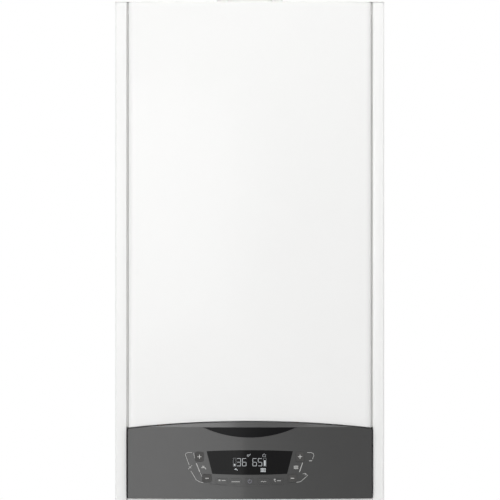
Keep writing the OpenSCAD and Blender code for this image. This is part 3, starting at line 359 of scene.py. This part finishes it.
# Fixings: bright zinc-plated screws and pins.
bright_zinc = Finish("bright_zinc", metallic=1.0)
scuffs = bright_zinc.noise(0.002, 4)
bright_zinc.set({
    "Base Color": bright_zinc.blend(scuffs, linear(196, 197, 195), linear(220, 219, 214)),
    "Roughness": 0.22 + scuffs * 0.16,
})
bright_zinc.bump(scuffs, 0.000008)
for node in ("casing_screws", "panel_studs", "hinge_pins"):
    coat(node, bright_zinc)
soften("hinge_brackets", "chassis", bright_zinc, 0.0002)

# The two captive screws are blackened, so that they don't show in the gap over the cover.
blackened = Finish("blackened_steel", metallic=1.0)
blackened.set({
    "Base Color": blackened.blend(blackened.noise(0.002, 4), linear(52, 51, 50), linear(70, 69, 67)),
    "Roughness": 0.4 + blackened.noise(0.002, 4) * 0.15,
})
coat("captive_screws", blackened)

# Stainless steel: the heat exchanger's shell and tube, brushed round by the rollers.
stainless = Finish("stainless_steel", metallic=1.0)
brushed = stainless.noise(0.0008, 3, stretch=(0.05, 1, 0.05))
stainless.set({
    "Base Color": stainless.blend(stainless.noise(0.05), linear(182, 180, 177), linear(203, 201, 198)),
    "Roughness": 0.24 + brushed * 0.2,
})
stainless.bump(brushed, 0.000006)
for node in ("exchanger_shell", "exchanger_coil", "burner"):
    coat(node, stainless)

# Die-cast aluminium: burner door, fan housing, gas valve and mixture duct, with cast skin.
cast = Finish("cast_aluminium", metallic=1.0)
skin = cast.noise(0.0022, 4)
cast.set({
    "Base Color": cast.blend(cast.noise(0.03, 3), linear(160, 162, 164), linear(192, 193, 194)),
    "Roughness": 0.46 + skin * 0.2,
})
cast.bump(skin, 0.00006)
for node in ("burner_door", "fan_housing", "gas_valve"):
    soften(node, "chassis", cast, 0.0008, 3)
coat("mixture_duct", cast)

# Flue parts: white polypropylene, lightly textured.
flue_white = Finish("flue_polypropylene")
flue_white.set({
    "Base Color": flue_white.blend(flue_white.noise(0.03), linear(236, 236, 233), linear(242, 242, 240)),
    "Roughness": 0.4 + flue_white.noise(0.004) * 0.1,
})
flue_white.bump(flue_white.noise(0.0009), 0.00001)
soften("flue_collar", "chassis", flue_white, 0.0006)
soften("flue_pipe", "chassis", flue_white, 0.0004)

# Rubber: buffers, vessel membrane and hose.
rubber = Finish("rubber")
bloom = rubber.noise(0.012, 4)
rubber.set({
    "Base Color": rubber.blend(bloom, linear(30, 30, 31), linear(52, 52, 53)),
    "Roughness": 0.72 + bloom * 0.16,
})
rubber.bump(rubber.noise(0.0008), 0.00003)
for node in ("wall_buffers", "vessel_membrane", "vessel_hose"):
    coat(node, rubber)


def baked(piece):
    """Applies a piece's modifiers to its mesh."""
    bpy.context.view_layer.update()
    mesh = bpy.data.meshes.new_from_object(piece.evaluated_get(bpy.context.evaluated_depsgraph_get()))
    piece.modifiers.clear()
    piece.data = mesh


def carve(piece, shapes):
    """Cuts solids out of a piece."""
    for bm in shapes:
        mesh = bpy.data.meshes.new("tool")
        bm.to_mesh(mesh)
        bm.free()
        tool = bpy.data.objects.new("tool", mesh)
        bpy.context.scene.collection.objects.link(tool)
        cut = piece.modifiers.new("cut", "BOOLEAN")
        cut.object, cut.operation, cut.solver = tool, "DIFFERENCE", "EXACT"
        baked(piece)
        bpy.data.objects.remove(tool)


# The collar's fittings: a rubber lip ring in each of its two sockets, a zinc-plated screw on each
# side of its flange, and a ribbed cap on each of the two test points.
FLUE = Vector((0, -0.16, 0))
TOP = FOOT + 0.745


def turned(bm, profile, centre, steps=48):
    """Spins a closed profile, given as radius and height above the casing's top, round an upright axis."""
    ring = [bm.verts.new((centre.x + r / 1000, centre.y, TOP + z / 1000)) for r, z in profile]
    edges = [bm.edges.new(pair) for pair in zip(ring, ring[1:] + ring[:1])]
    bmesh.ops.spin(bm, geom=ring + edges, cent=centre, axis=(0, 0, 1), angle=2 * math.pi, steps=steps, use_merge=True)
    bmesh.ops.remove_doubles(bm, verts=bm.verts, dist=1e-6)
    bmesh.ops.recalc_face_normals(bm, faces=bm.faces)
    return bm


for name, bore in (("flue_lip_ring", 30.3), ("collar_lip_ring", 48.1)):
    lip = [(bore, 11), (bore, 17), (bore - 0.9, 16.6), (bore - 1.9, 14.6), (bore - 0.9, 13.6), (bore - 0.7, 11)]
    make_piece(name, turned(bmesh.new(), lip, FLUE, 72), "chassis", rubber, sharp=50)

bm = bmesh.new()
for side in (-1, 1):
    turned(bm, [(0.01, 3.9), (4.2, 3.9), (4.2, 4.6), (3.4, 5.8), (2, 6.3), (0.01, 6.4)], FLUE + Vector((side * 0.056, 0, 0)), 24)
collar_screws = make_piece("collar_screw_heads", bm, "chassis", bright_zinc, sharp=40)
recesses = []
for side in (-1, 1):
    for turn in (30, 120):
        bm = bmesh.new()
        place = Matrix.Translation(FLUE + Vector((side * 0.056, 0, TOP + 0.0062)))
        place = place @ Matrix.Rotation(math.radians(turn), 4, "Z") @ Matrix.Diagonal((0.0046, 0.0009, 0.0022, 1))
        bmesh.ops.create_cube(bm, size=1, matrix=place)
        recesses.append(bm)
carve(collar_screws, recesses)

bm = bmesh.new()
for side in (-1, 1):
    foot = bmesh.ops.create_circle(bm, segments=48, radius=0.0068, matrix=Matrix.Translation((side * 0.04, -0.202, TOP + 0.003)))["verts"]
    for v in foot[::2]:
        v.co = v.co.lerp(Vector((side * 0.04, -0.202, v.co.z)), 0.06)
    rim = [e for e in bm.edges if e.verts[0] in foot and e.verts[1] in foot]
    wall = next_row(bm, rim, lambda co: co + Vector((0, 0, 0.0065)))
    middle = Vector((side * 0.04, -0.202, TOP + 0.0103))
    bmesh.ops.holes_fill(bm, edges=next_row(bm, wall, lambda co: co.lerp(middle, 0.18) + Vector((0, 0, 0.0006))))
bmesh.ops.holes_fill(bm, edges=bm.edges)
bmesh.ops.recalc_face_normals(bm, faces=bm.faces)
make_piece("test_point_caps", bm, "chassis", flue_white, sharp=25)

# Copper pipes, bright where drawn and browned in patches where they were brazed.
copper = Finish("copper_pipe", metallic=1.0)
tarnish = copper.noise(0.035, 4)
drawn = copper.noise(0.0012, 2, stretch=(1, 1, 0.05))
copper.set({
    "Base Color": copper.blend(tarnish.step(0.52, 0.3), linear(206, 142, 108), linear(158, 98, 72)),
    "Roughness": 0.22 + tarnish * 0.2 + drawn * 0.08,
})
copper.bump(drawn, 0.000005)
for node in ("gas_pipe", "return_pipe", "riser_pipe", "flow_pipe"):
    coat(node, copper)

# Brass: flow block, safety valve, air vent and the hexagonal union nuts.
brass = Finish("brass", metallic=1.0)
lathe_marks = brass.noise(0.0007, 2, stretch=(0.1, 0.1, 1))
brass.set({
    "Base Color": brass.blend(brass.noise(0.02, 3), linear(214, 184, 118), linear(196, 160, 92)),
    "Roughness": 0.24 + lathe_marks * 0.16,
})
brass.bump(lathe_marks, 0.000008)
for node in ("flow_block", "safety_valve", "air_vent", "union_nuts"):
    soften(node, "chassis", brass, 0.0006)

# Red stove enamel on the vessel and on the pump's motor.
red_paint = Finish("red_enamel")
peel = red_paint.noise(0.0018, 2)
red_paint.set({
    "Base Color": red_paint.blend(red_paint.noise(0.05), linear(158, 22, 18), linear(172, 28, 22)),
    "Roughness": 0.3 + peel * 0.12,
})
red_paint.bump(peel, 0.00001)
soften("expansion_vessel", "chassis", red_paint, 0.0015, 3)
soften("pump_motor", "chassis", red_paint, 0.0015, 3)

# Cast iron pump body, dipped black.
cast_iron = Finish("black_cast_iron")
grain = cast_iron.noise(0.0016, 5)
cast_iron.set({
    "Base Color": cast_iron.blend(grain, linear(34, 34, 36), linear(52, 52, 54)),
    "Roughness": 0.45 + grain * 0.2,
})
cast_iron.bump(grain, 0.00012)
soften("pump_body", "chassis", cast_iron, 0.001, 3)

def moulded(name, low, high, roughness, texture=0.0007, depth=0.00001):
    """Moulded plastic with the fine matt texture that the tool leaves on it."""
    plastic = Finish(name)
    plastic.set({
        "Base Color": plastic.blend(plastic.noise(0.03), low, high),
        "Roughness": roughness + plastic.noise(0.006, 3) * 0.08,
    })
    return plastic.bump(plastic.noise(texture), depth)


black_plastic = moulded("black_plastic", linear(34, 34, 35), linear(42, 42, 43), 0.42)
white_plastic = moulded("white_plastic", linear(226, 226, 224), linear(233, 233, 231), 0.38)
red_plastic = moulded("red_plastic", linear(186, 24, 20), linear(196, 30, 24), 0.34)
soften("control_box", "control_panel", black_plastic, 0.0006)
soften("fan_motor", "chassis", black_plastic, 0.0012, 3)
soften("cable_gland", "chassis", black_plastic, 0.0008)
soften("condensate_trap", "chassis", white_plastic, 0.0008)
soften("safety_knob", "safety_knob_body", red_plastic, 0.0008)
coat("fan_rotor", black_plastic)
coat("panel_clips", black_plastic)
coat("pump_rotor", stainless)
coat("electrode", white_plastic)

# Circuit boards: green lacquer over copper tracks.
board = Finish("circuit_board", roughness=0.35)
tracks = board.add("TexVoronoi", {"feature": "DISTANCE_TO_EDGE"}, {"Vector": board.place, "Scale": 260.0})
board.set({"Base Color": board.blend(tracks.step(0.06, 0.02), linear(92, 132, 84), linear(18, 66, 40))})
board.bump(tracks.step(0.06, 0.05), 0.00003)
coat("control_board", board)

# Control panel cover: one dark grey satin moulding, bulged like the front panel, with a slope
# along its top that narrows to nothing at the sides, and openings for the display and the keys.
PANEL_SLOPE = math.radians(38)
SLOPE_Z = FOOT + 0.1127
COVER_HALF, COVER_CROWN, COVER_BULGE, COVER_REAR, COVER_Z = 0.1814, -0.319, 0.0175, -0.298, FOOT + 0.0061
KEYS = {
    "key_water_plus": (-74.6, 68.8, 11.7, 14), "key_water_minus": (-63.4, 36.9, 12.8, 11.6),
    "key_heating_plus": (74.6, 68.8, 11.7, 14), "key_heating_minus": (63.4, 36.9, 12.8, 11.6),
    "key_mode": (-41.4, 32.4, 17, 8), "key_menu": (-20.7, 32.4, 17, 8), "key_power": (0, 32.4, 11, 9),
    "key_auto": (20.7, 32.4, 17, 8), "key_comfort": (41.4, 32.4, 17, 8),
}


def cover_face(x):
    """How far forward the cover's face is at that distance from the middle."""
    r = face_radius(COVER_BULGE)
    return COVER_CROWN + r - math.sqrt(r * r - x * x)


def slope_face(x, z):
    """Where the leaning slope along the cover's top is."""
    r = face_radius(COVER_BULGE) / math.cos(PANEL_SLOPE)
    return COVER_CROWN + (r - math.sqrt(r * r - x * x)) / math.cos(PANEL_SLOPE) + (z - SLOPE_Z) * math.tan(PANEL_SLOPE)


def on_cover(co, z, inset=0.0):
    """A point of the plan line, lifted to that height and leant back where the slope is."""
    back = slope_face(co.x, z) + inset / math.cos(PANEL_SLOPE)
    return Vector((co.x, min(max(co.y, back), -0.2985), z))


cover_plastic = moulded("cover_plastic", linear(47, 47, 46.5), linear(50, 50, 49.5), 0.3, 0.0005, 0.000006)
cover_plastic.set({"Specular IOR Level": 0.36, "Coat Weight": 0.2, "Coat Roughness": 0.08})


def cover_block(inset, rear):
    """The cover's outer form, or with an inset the hollow inside it, closed at the rear."""
    bm = bmesh.new()
    foot = bulged_line(bm, COVER_CROWN + inset, COVER_BULGE, COVER_HALF - inset, 0.0012, rear, COVER_Z + inset)
    row = foot
    for i in range(4):
        row = next_row(bm, row, lambda co: on_cover(
            co, co.z + (min(SLOPE_Z, arc_height(co.x, 0.0011 + inset)) - COVER_Z - inset) / 4, inset))
    row = next_row(bm, row, lambda co: on_cover(co, arc_height(co.x, 0.001 + inset), inset))
    next_row(bm, row, lambda co: Vector((co.x, rear, co.z)))
    next_row(bm, foot, lambda co: Vector((co.x, rear, co.z)))
    bmesh.ops.remove_doubles(bm, verts=bm.verts, dist=1e-6)
    bmesh.ops.holes_fill(bm, edges=bm.edges)
    bmesh.ops.recalc_face_normals(bm, faces=bm.faces)
    return bm


bm = cover_block(0, COVER_REAR)
rims = [e for e in bm.edges if e.calc_face_angle(0) > math.radians(40) and max(v.co.y for v in e.verts) < COVER_REAR]
bmesh.ops.bevel(bm, geom=rims, offset=0.0006, affect="EDGES", segments=3, profile=0.5, material=-1)
cover = make_piece("control_cover", bm, "control_panel", cover_plastic, ["fascia"])


def prism(points, y_front, y_back):
    """A solid whose front view is the polygon, in millimetres above the casing's foot."""
    bm = bmesh.new()
    face = bm.faces.new([bm.verts.new((x / 1000, y_front, FOOT + z / 1000)) for x, z in points])
    made = bmesh.ops.extrude_face_region(bm, geom=[face])["geom"]
    bmesh.ops.translate(bm, verts=[v for v in made if isinstance(v, bmesh.types.BMVert)], vec=(0, y_back - y_front, 0))
    bmesh.ops.recalc_face_normals(bm, faces=bm.faces)
    return bm


def rounded(x, z, w, h, r, steps=6):
    """The outline of a key, centred at x and z."""
    points = []
    for sx, sz, turn in ((1, 1, 0), (-1, 1, 90), (-1, -1, 180), (1, -1, 270)):
        for i in range(steps + 1):
            a = math.radians(turn + 90 * i / steps)
            points.append((x + sx * (w / 2 - r) + r * math.cos(a), z + sz * (h / 2 - r) + r * math.sin(a)))
    return points


WINDOW_FOOT, WINDOW_TOP, WINDOW_BOW = (55.5, 43.5), (64, 77.1), 1.5

def window_outline(steps=24):
    """The display window: sides that lean outwards, and bowed edges above and below."""
    points = []
    for (half, z), turn in ((WINDOW_FOOT, 1), (WINDOW_TOP, -1)):
        for i in range(steps + 1):
            share = 1 - 2 * i / steps
            points.append((-turn * share * half, z - turn * WINDOW_BOW * (1 - share * share)))
    return points


BADGE_TOP, BADGE_HALF, BADGE_H = 112.4, 69.5, 15.2
BADGE_R = (BADGE_HALF**2 + BADGE_H**2) / (2 * BADGE_H)


def crescent(grow, y_front, y_back):
    """The badge's form: a row of edges along the arc, drawn up to the straight top, then given depth."""
    bm = bmesh.new()
    lean = math.asin(BADGE_HALF / BADGE_R)
    centre = Vector((0, 0, FOOT + (BADGE_TOP - BADGE_H + BADGE_R) / 1000))
    start = bm.verts.new(centre + Matrix.Rotation(lean, 3, "Y") @ Vector((0, 0, -(BADGE_R + grow) / 1000)))
    bmesh.ops.spin(bm, geom=[start], cent=centre, axis=(0, 1, 0), angle=-2 * lean, steps=48)
    next_row(bm, list(bm.edges), lambda co: Vector((co.x, 0, FOOT + (BADGE_TOP + grow) / 1000)))
    bmesh.ops.remove_doubles(bm, verts=bm.verts, dist=1e-6)
    made = bmesh.ops.extrude_face_region(bm, geom=bm.faces[:])["geom"]
    rear = {v for v in made if isinstance(v, bmesh.types.BMVert)}
    for v in bm.verts:
        v.co.y = cover_face(v.co.x) + (y_back if v in rear else y_front)
    bmesh.ops.recalc_face_normals(bm, faces=bm.faces)
    return bm


openings = [prism(rounded(x, z, w + 0.7, h + 0.7, 2.35), -0.33, -0.30) for x, z, w, h in KEYS.values()]
carve(cover, [cover_block(0.0025, -0.29), prism(window_outline(), -0.33, -0.31), crescent(0, -0.01, 0.001), *openings])
cover.data.shade_smooth()
cover.data.set_sharp_from_angle(angle=math.radians(35))


def face_normal(co):
    return Vector((co.x, -math.sqrt(face_radius(COVER_BULGE) ** 2 - co.x**2), 0)).normalized()


def slope_normal(co):
    r = face_radius(COVER_BULGE) / math.cos(PANEL_SLOPE)
    run = co.x / math.sqrt(r * r - co.x**2) / math.cos(PANEL_SLOPE)
    return Vector((run, -1, math.tan(PANEL_SLOPE))).normalized()


def true_shading(piece, surfaces):
    """Lets each face that lies on one of the surfaces shade as that smooth surface does."""
    mesh = piece.data
    normals = [Vector(corner.vector) for corner in mesh.corner_normals]
    for face in mesh.polygons:
        for surface in surfaces:
            if face.normal.angle(surface(face.center)) < math.radians(6):
                for i in face.loop_indices:
                    normals[i] = surface(mesh.vertices[mesh.loops[i].vertex_index].co)
    mesh.normals_split_custom_set(normals)


true_shading(cover, (face_normal, slope_normal))

# Blank badge: a gloss black crescent under the slope, set into the cover, left plain.


gloss_black = Finish("gloss_black", specular_ior_level=0.07)
gloss_black.set({
    "Base Color": gloss_black.blend(gloss_black.noise(0.02), linear(12, 12, 13), linear(17, 17, 18)),
    "Roughness": 0.16 + gloss_black.noise(0.004, 4) * 0.06,
})
badge = make_piece("blank_badge", crescent(-0.15, -0.0001, 0.0009), "control_panel", gloss_black)
edge = badge.modifiers.new("edge", "BEVEL")
edge.width, edge.segments, edge.limit_method, edge.angle_limit = 0.0002, 2, "ANGLE", math.radians(50)


# Keys: caps in the cover's own plastic, the four plus and minus keys in a matter one. Their signs,
# and the lines and signs round them, are printed in light grey. A dark line under the row of keys is painted shadow.
key_plastic = moulded("key_plastic", linear(52, 51, 50), linear(56, 55, 54), 0.62, 0.0005, 0.000006)
for node in KEYS:
    coat(node, key_plastic if node.endswith(("plus", "minus")) else cover_plastic)

grey_ink = Finish("grey_ink", roughness=0.6)
grey_ink.set({"Base Color": grey_ink.blend(grey_ink.noise(0.0006, 3), linear(168, 168, 166), linear(186, 186, 184))})
white_ink = Finish("white_ink", roughness=0.6)
white_ink.set({"Base Color": white_ink.blend(white_ink.noise(0.0006, 3), linear(214, 214, 212), linear(226, 226, 224))})
blue_ink = Finish("blue_ink", roughness=0.6)
blue_ink.set({"Base Color": blue_ink.blend(blue_ink.noise(0.0006, 3), linear(102, 101, 113), linear(113, 112, 124))})
# This dark ink is painted shadow: it draws only the line under the key field, in place of the shade under that edge.
painted_shadow_ink = Finish("painted_shadow_ink", roughness=0.6)
painted_shadow_ink.set({"Base Color": painted_shadow_ink.blend(painted_shadow_ink.noise(0.0006, 3), linear(34, 34, 34), linear(40, 40, 40))})


def printed(name, lines, body, ink, surface, thickness=0.00006):
    """Lines given as (width, points) in front view, laid flat on a surface y = surface(x)."""
    bm = bmesh.new()
    for width, points in lines:
        line = bpy.data.curves.new("line", "CURVE")
        line.dimensions, line.bevel_depth, line.bevel_resolution = "3D", width / 2000, 1
        line.use_fill_caps = True
        path = line.splines.new("POLY")
        path.use_cyclic_u = points[0] == points[-1] and len(points) > 2
        points = points[:-1] if path.use_cyclic_u else points
        path.points.add(len(points) - 1)
        for point, (x, z) in zip(path.points, points):
            point.co = (x / 1000, 0, FOOT + z / 1000, 1)
        holder = bpy.data.objects.new("line", line)
        mesh = bpy.data.meshes.new_from_object(holder)
        for v in mesh.vertices:
            v.co.y *= 2000 * thickness / width
        bm.from_mesh(mesh)
        bpy.data.objects.remove(holder)
    for v in bm.verts:
        v.co.y += surface(v.co.x)
    return make_piece(name, bm, body, ink)


def ring(x, z, r, start=0, end=360, steps=24):
    """Points round a circle, from straight up, clockwise in the front view."""
    return [(x + r * math.sin(math.radians(a)), z + r * math.cos(math.radians(a)))
            for a in [start + (end - start) * i / steps for i in range(steps + 1)]]


def tap(x, z, s):
    """A tap: pipe, body, spout and handle."""
    return [(1.1 * s, [(x - 3 * s, z), (x + 1.2 * s, z)]),
            (1.1 * s, [(x + 1.2 * s, z), (x + 2.4 * s, z - 0.5 * s), (x + 2.8 * s, z - 2 * s)]),
            (0.8 * s, [(x - 0.4 * s, z), (x - 0.4 * s, z + 1.6 * s)]),
            (0.8 * s, [(x - 1.9 * s, z + 1.8 * s), (x + 1.1 * s, z + 1.8 * s)])]


def radiator(x, z, s):
    """A radiator: columns between two rails."""
    return [(0.75 * s, [(x + dx * s, z - 2.1 * s), (x + dx * s, z + 2.1 * s)]) for dx in (-2.1, -0.7, 0.7, 2.1)] + [
        (0.5 * s, [(x - 2.8 * s, z + dz * s), (x + 2.8 * s, z + dz * s)]) for dz in (-1.4, 1.4)]


grey_lines = [
    (0.75, [(-85.6, 75), (-91.4, 75), (-94.6, 73.8), (-95.5, 71.8), (-90, 56.7)]),
    (0.75, [(-87.2, 47.6), (-79.6, 34.8), (-74.9, 31.7), (-68.5, 30.1)]),
    (0.7, [(-85.6, 56.1), (-91.4, 50)]),
    (0.7, [(-90.2, 54.4), (-86.8, 51.8)]),
    (0.6, [(-83.4, 74.6), (-81.6, 66.5)]),
    (1.3, [(-79.3, 59.1), (-74.1, 46.4)]),
    (0.6, [(-73.6, 45.2), (-71, 39.6)]),
    (1.3, [(78.4, 59.9), (73.7, 46.1)]),
    (0.75, [(85.3, 74.9), (91.2, 74.9), (94.4, 73.4), (95.2, 70.4), (93, 65.1)]),
    (1.2, [(88, 62.7), (92.4, 62.7)]),
    (0.75, [(86.3, 41.5), (79, 34.8), (75.5, 31.8), (69.1, 30.8)]),
    (0.8, [(78.7, 43.2), (82.2, 44.3), (85, 42)]),
    (0.8, [(82.2, 44.1), (82.4, 41.2)]),
]
grey_lines += tap(-68.4, 52.6, 1.2) + radiator(68.6, 53.1, 1.2)
printed("panel_lines", grey_lines, "control_panel", grey_ink, cover_face)
# Painted shadow: a dark line along the lower edge of the key field, in place of the shade that falls under that edge.
printed("key_field_painted_shadow", [(0.6, [(x, 24.7 + x * x / 850) for x in range(-60, 61, 6)])],
        "control_panel", painted_shadow_ink, cover_face)


def key_face(x):
    return cover_face(x) - 0.0004


KEY_SIGNS = {
    "key_water_plus": (white_ink, [(0.7, [(-77.6, 68.8), (-71.6, 68.8)]), (0.7, [(-74.6, 65.8), (-74.6, 71.8)])]),
    "key_heating_plus": (white_ink, [(0.7, [(71.6, 68.8), (77.6, 68.8)]), (0.7, [(74.6, 65.8), (74.6, 71.8)])]),
    "key_water_minus": (white_ink, [(0.9, [(-65.9, 36.9), (-60.9, 36.9)])]),
    "key_heating_minus": (white_ink, [(0.9, [(60.9, 36.9), (65.9, 36.9)])]),
    "key_mode": (grey_ink, [(0.8, [(-46, 32.4), (-43.8, 35.4)]), (0.8, [(-46, 35.4), (-43.8, 32.4)]),
                            (0.8, [(-46.6, 33.9), (-43.2, 33.9)]), (1.1, [(-41.6, 33.7), (-36, 33.7)])]),
    "key_menu": (grey_ink, [(1.0, [(-27, 31.8), (-14.8, 31.8)])]),
    "key_power": (blue_ink, [(0.8, ring(0, 32.4, 2.6, 35, 325)), (0.8, [(0, 33), (0, 36)])]),
    "key_auto": (grey_ink, [(0.8, [(16.4, 31.6), (18.4, 32.6), (20.4, 31.6), (22.4, 32.6), (24.4, 31.8)])]),
    "key_comfort": (grey_ink, [(0.9, ring(37, 35.2, 0.8, steps=10)), (0.9, [(37, 34.4), (37.3, 32.4), (38.8, 31.9)]),
                               (1.1, [(40.6, 33.4), (46, 33.4)])]),
}
for node, (ink, lines) in KEY_SIGNS.items():
    printed(node + "_sign", lines, node + "_body", ink, key_face)

# Display: a smoked clear window over a liquid crystal display, lit with the two temperatures,
# the two level bars and the small signs above and below them.
dark_glass = Finish("display_glass", roughness=0.3, specular_ior_level=0.08)
dark_glass.set({"Base Color": dark_glass.blend(dark_glass.noise(0.03), linear(12, 12, 13), linear(17, 17, 18))})
coat("display_board", dark_glass)
smoked = Finish("smoked_window", specular_ior_level=0.06)
smoked.set({"Base Color": smoked.blend(smoked.noise(0.03), linear(21, 21, 21.5), linear(23, 23, 23.5)),
            "Roughness": 0.06 + smoked.noise(0.006, 4) * 0.03})
coat("display_lens", smoked)
lit = Finish("lit_segment", roughness=0.5, emission_strength=1.0)
lit.set({"Emission Color": lit.blend(lit.noise(0.004), linear(178, 182, 184), linear(188, 191, 193)),
         "Base Color": linear(60, 62, 64)})
STROKES = {"a": [(0, 11), (5.4, 11)], "b": [(5.4, 10.6), (5.4, 5.9)], "c": [(5.4, 5.1), (5.4, 0.4)],
           "d": [(0, 0), (5.4, 0)], "e": [(0, 0.4), (0, 5.1)], "f": [(0, 5.9), (0, 10.6)], "g": [(0.4, 5.5), (5, 5.5)]}
segments = []
for x, bars in ((-18.8, "abgcd"), (-10.8, "afedcg"), (4.6, "afedcg"), (12.6, "afgcd")):
    for bar in bars:
        segments.append((0.7, [(x + dx, 55.3 + dz) for dx, dz in STROKES[bar]]))
for x, top in ((-22.4, 58.2), (22.4, 63.6)):
    segments.append((0.3, [(x - 2, 54.8), (x + 2, 54.8), (x + 2, 66.8), (x - 2, 66.8), (x - 2, 54.8)]))
    segments.append((2.2, [(x, 55.6), (x, top)]))
segments += [(0.8, [(-4, 70.2), (-2.6, 72), (-1, 70.8), (1.2, 72.9)]), (0.6, [(-3.6, 69.4), (-1.2, 69.4)])]
segments += [(0.45, [(18.5, 70.9), (21.4, 73.2), (24.2, 70.9)])]
segments += [(0.45, [(19.3, 70.6), (19.3, 68.9), (23.4, 68.9), (23.4, 70.6)])]
segments += tap(-20.4, 49.9, 0.8) + radiator(19.9, 49.1, 1.4)
printed("lit_segments", segments, "control_panel", lit, cover_face, 0.00003)

# Side seals: a pale foam strip in each gap between the side panel and the front panel.
foam = moulded("pale_foam", linear(214, 214, 212), linear(226, 226, 224), 0.8, 0.0008, 0.00008)
for side in (-1, 1):
    bm = bmesh.new()
    row = folded_line(bm, [(side * x, y, FOOT + 0.112) for x, y in
                           ((0.1809, -0.287), (0.1809, -0.2935), (0.18285, -0.2935), (0.18285, -0.287))],
                      (0.0004, 0.0004), 3)
    next_row(bm, row, lambda co: co + Vector((0, 0, 0.6312)))
    bmesh.ops.recalc_face_normals(bm, faces=bm.faces)
    make_piece("side_seal_left" if side < 0 else "side_seal_right", bm, "chassis", foam)

# Foot seal: a strip of the same foam glued along the rear of the base plate. It closes the slot
# between the plate and the back frame against the side panels' rear flanges.
bm = bmesh.new()
place = Matrix.Translation((0, -0.0187, FOOT + 0.0065)) @ Matrix.Diagonal((0.39, 0.006, 0.011, 1))
bmesh.ops.create_cube(bm, size=1, matrix=place)
make_piece("foot_seal", bm, "chassis", foam)
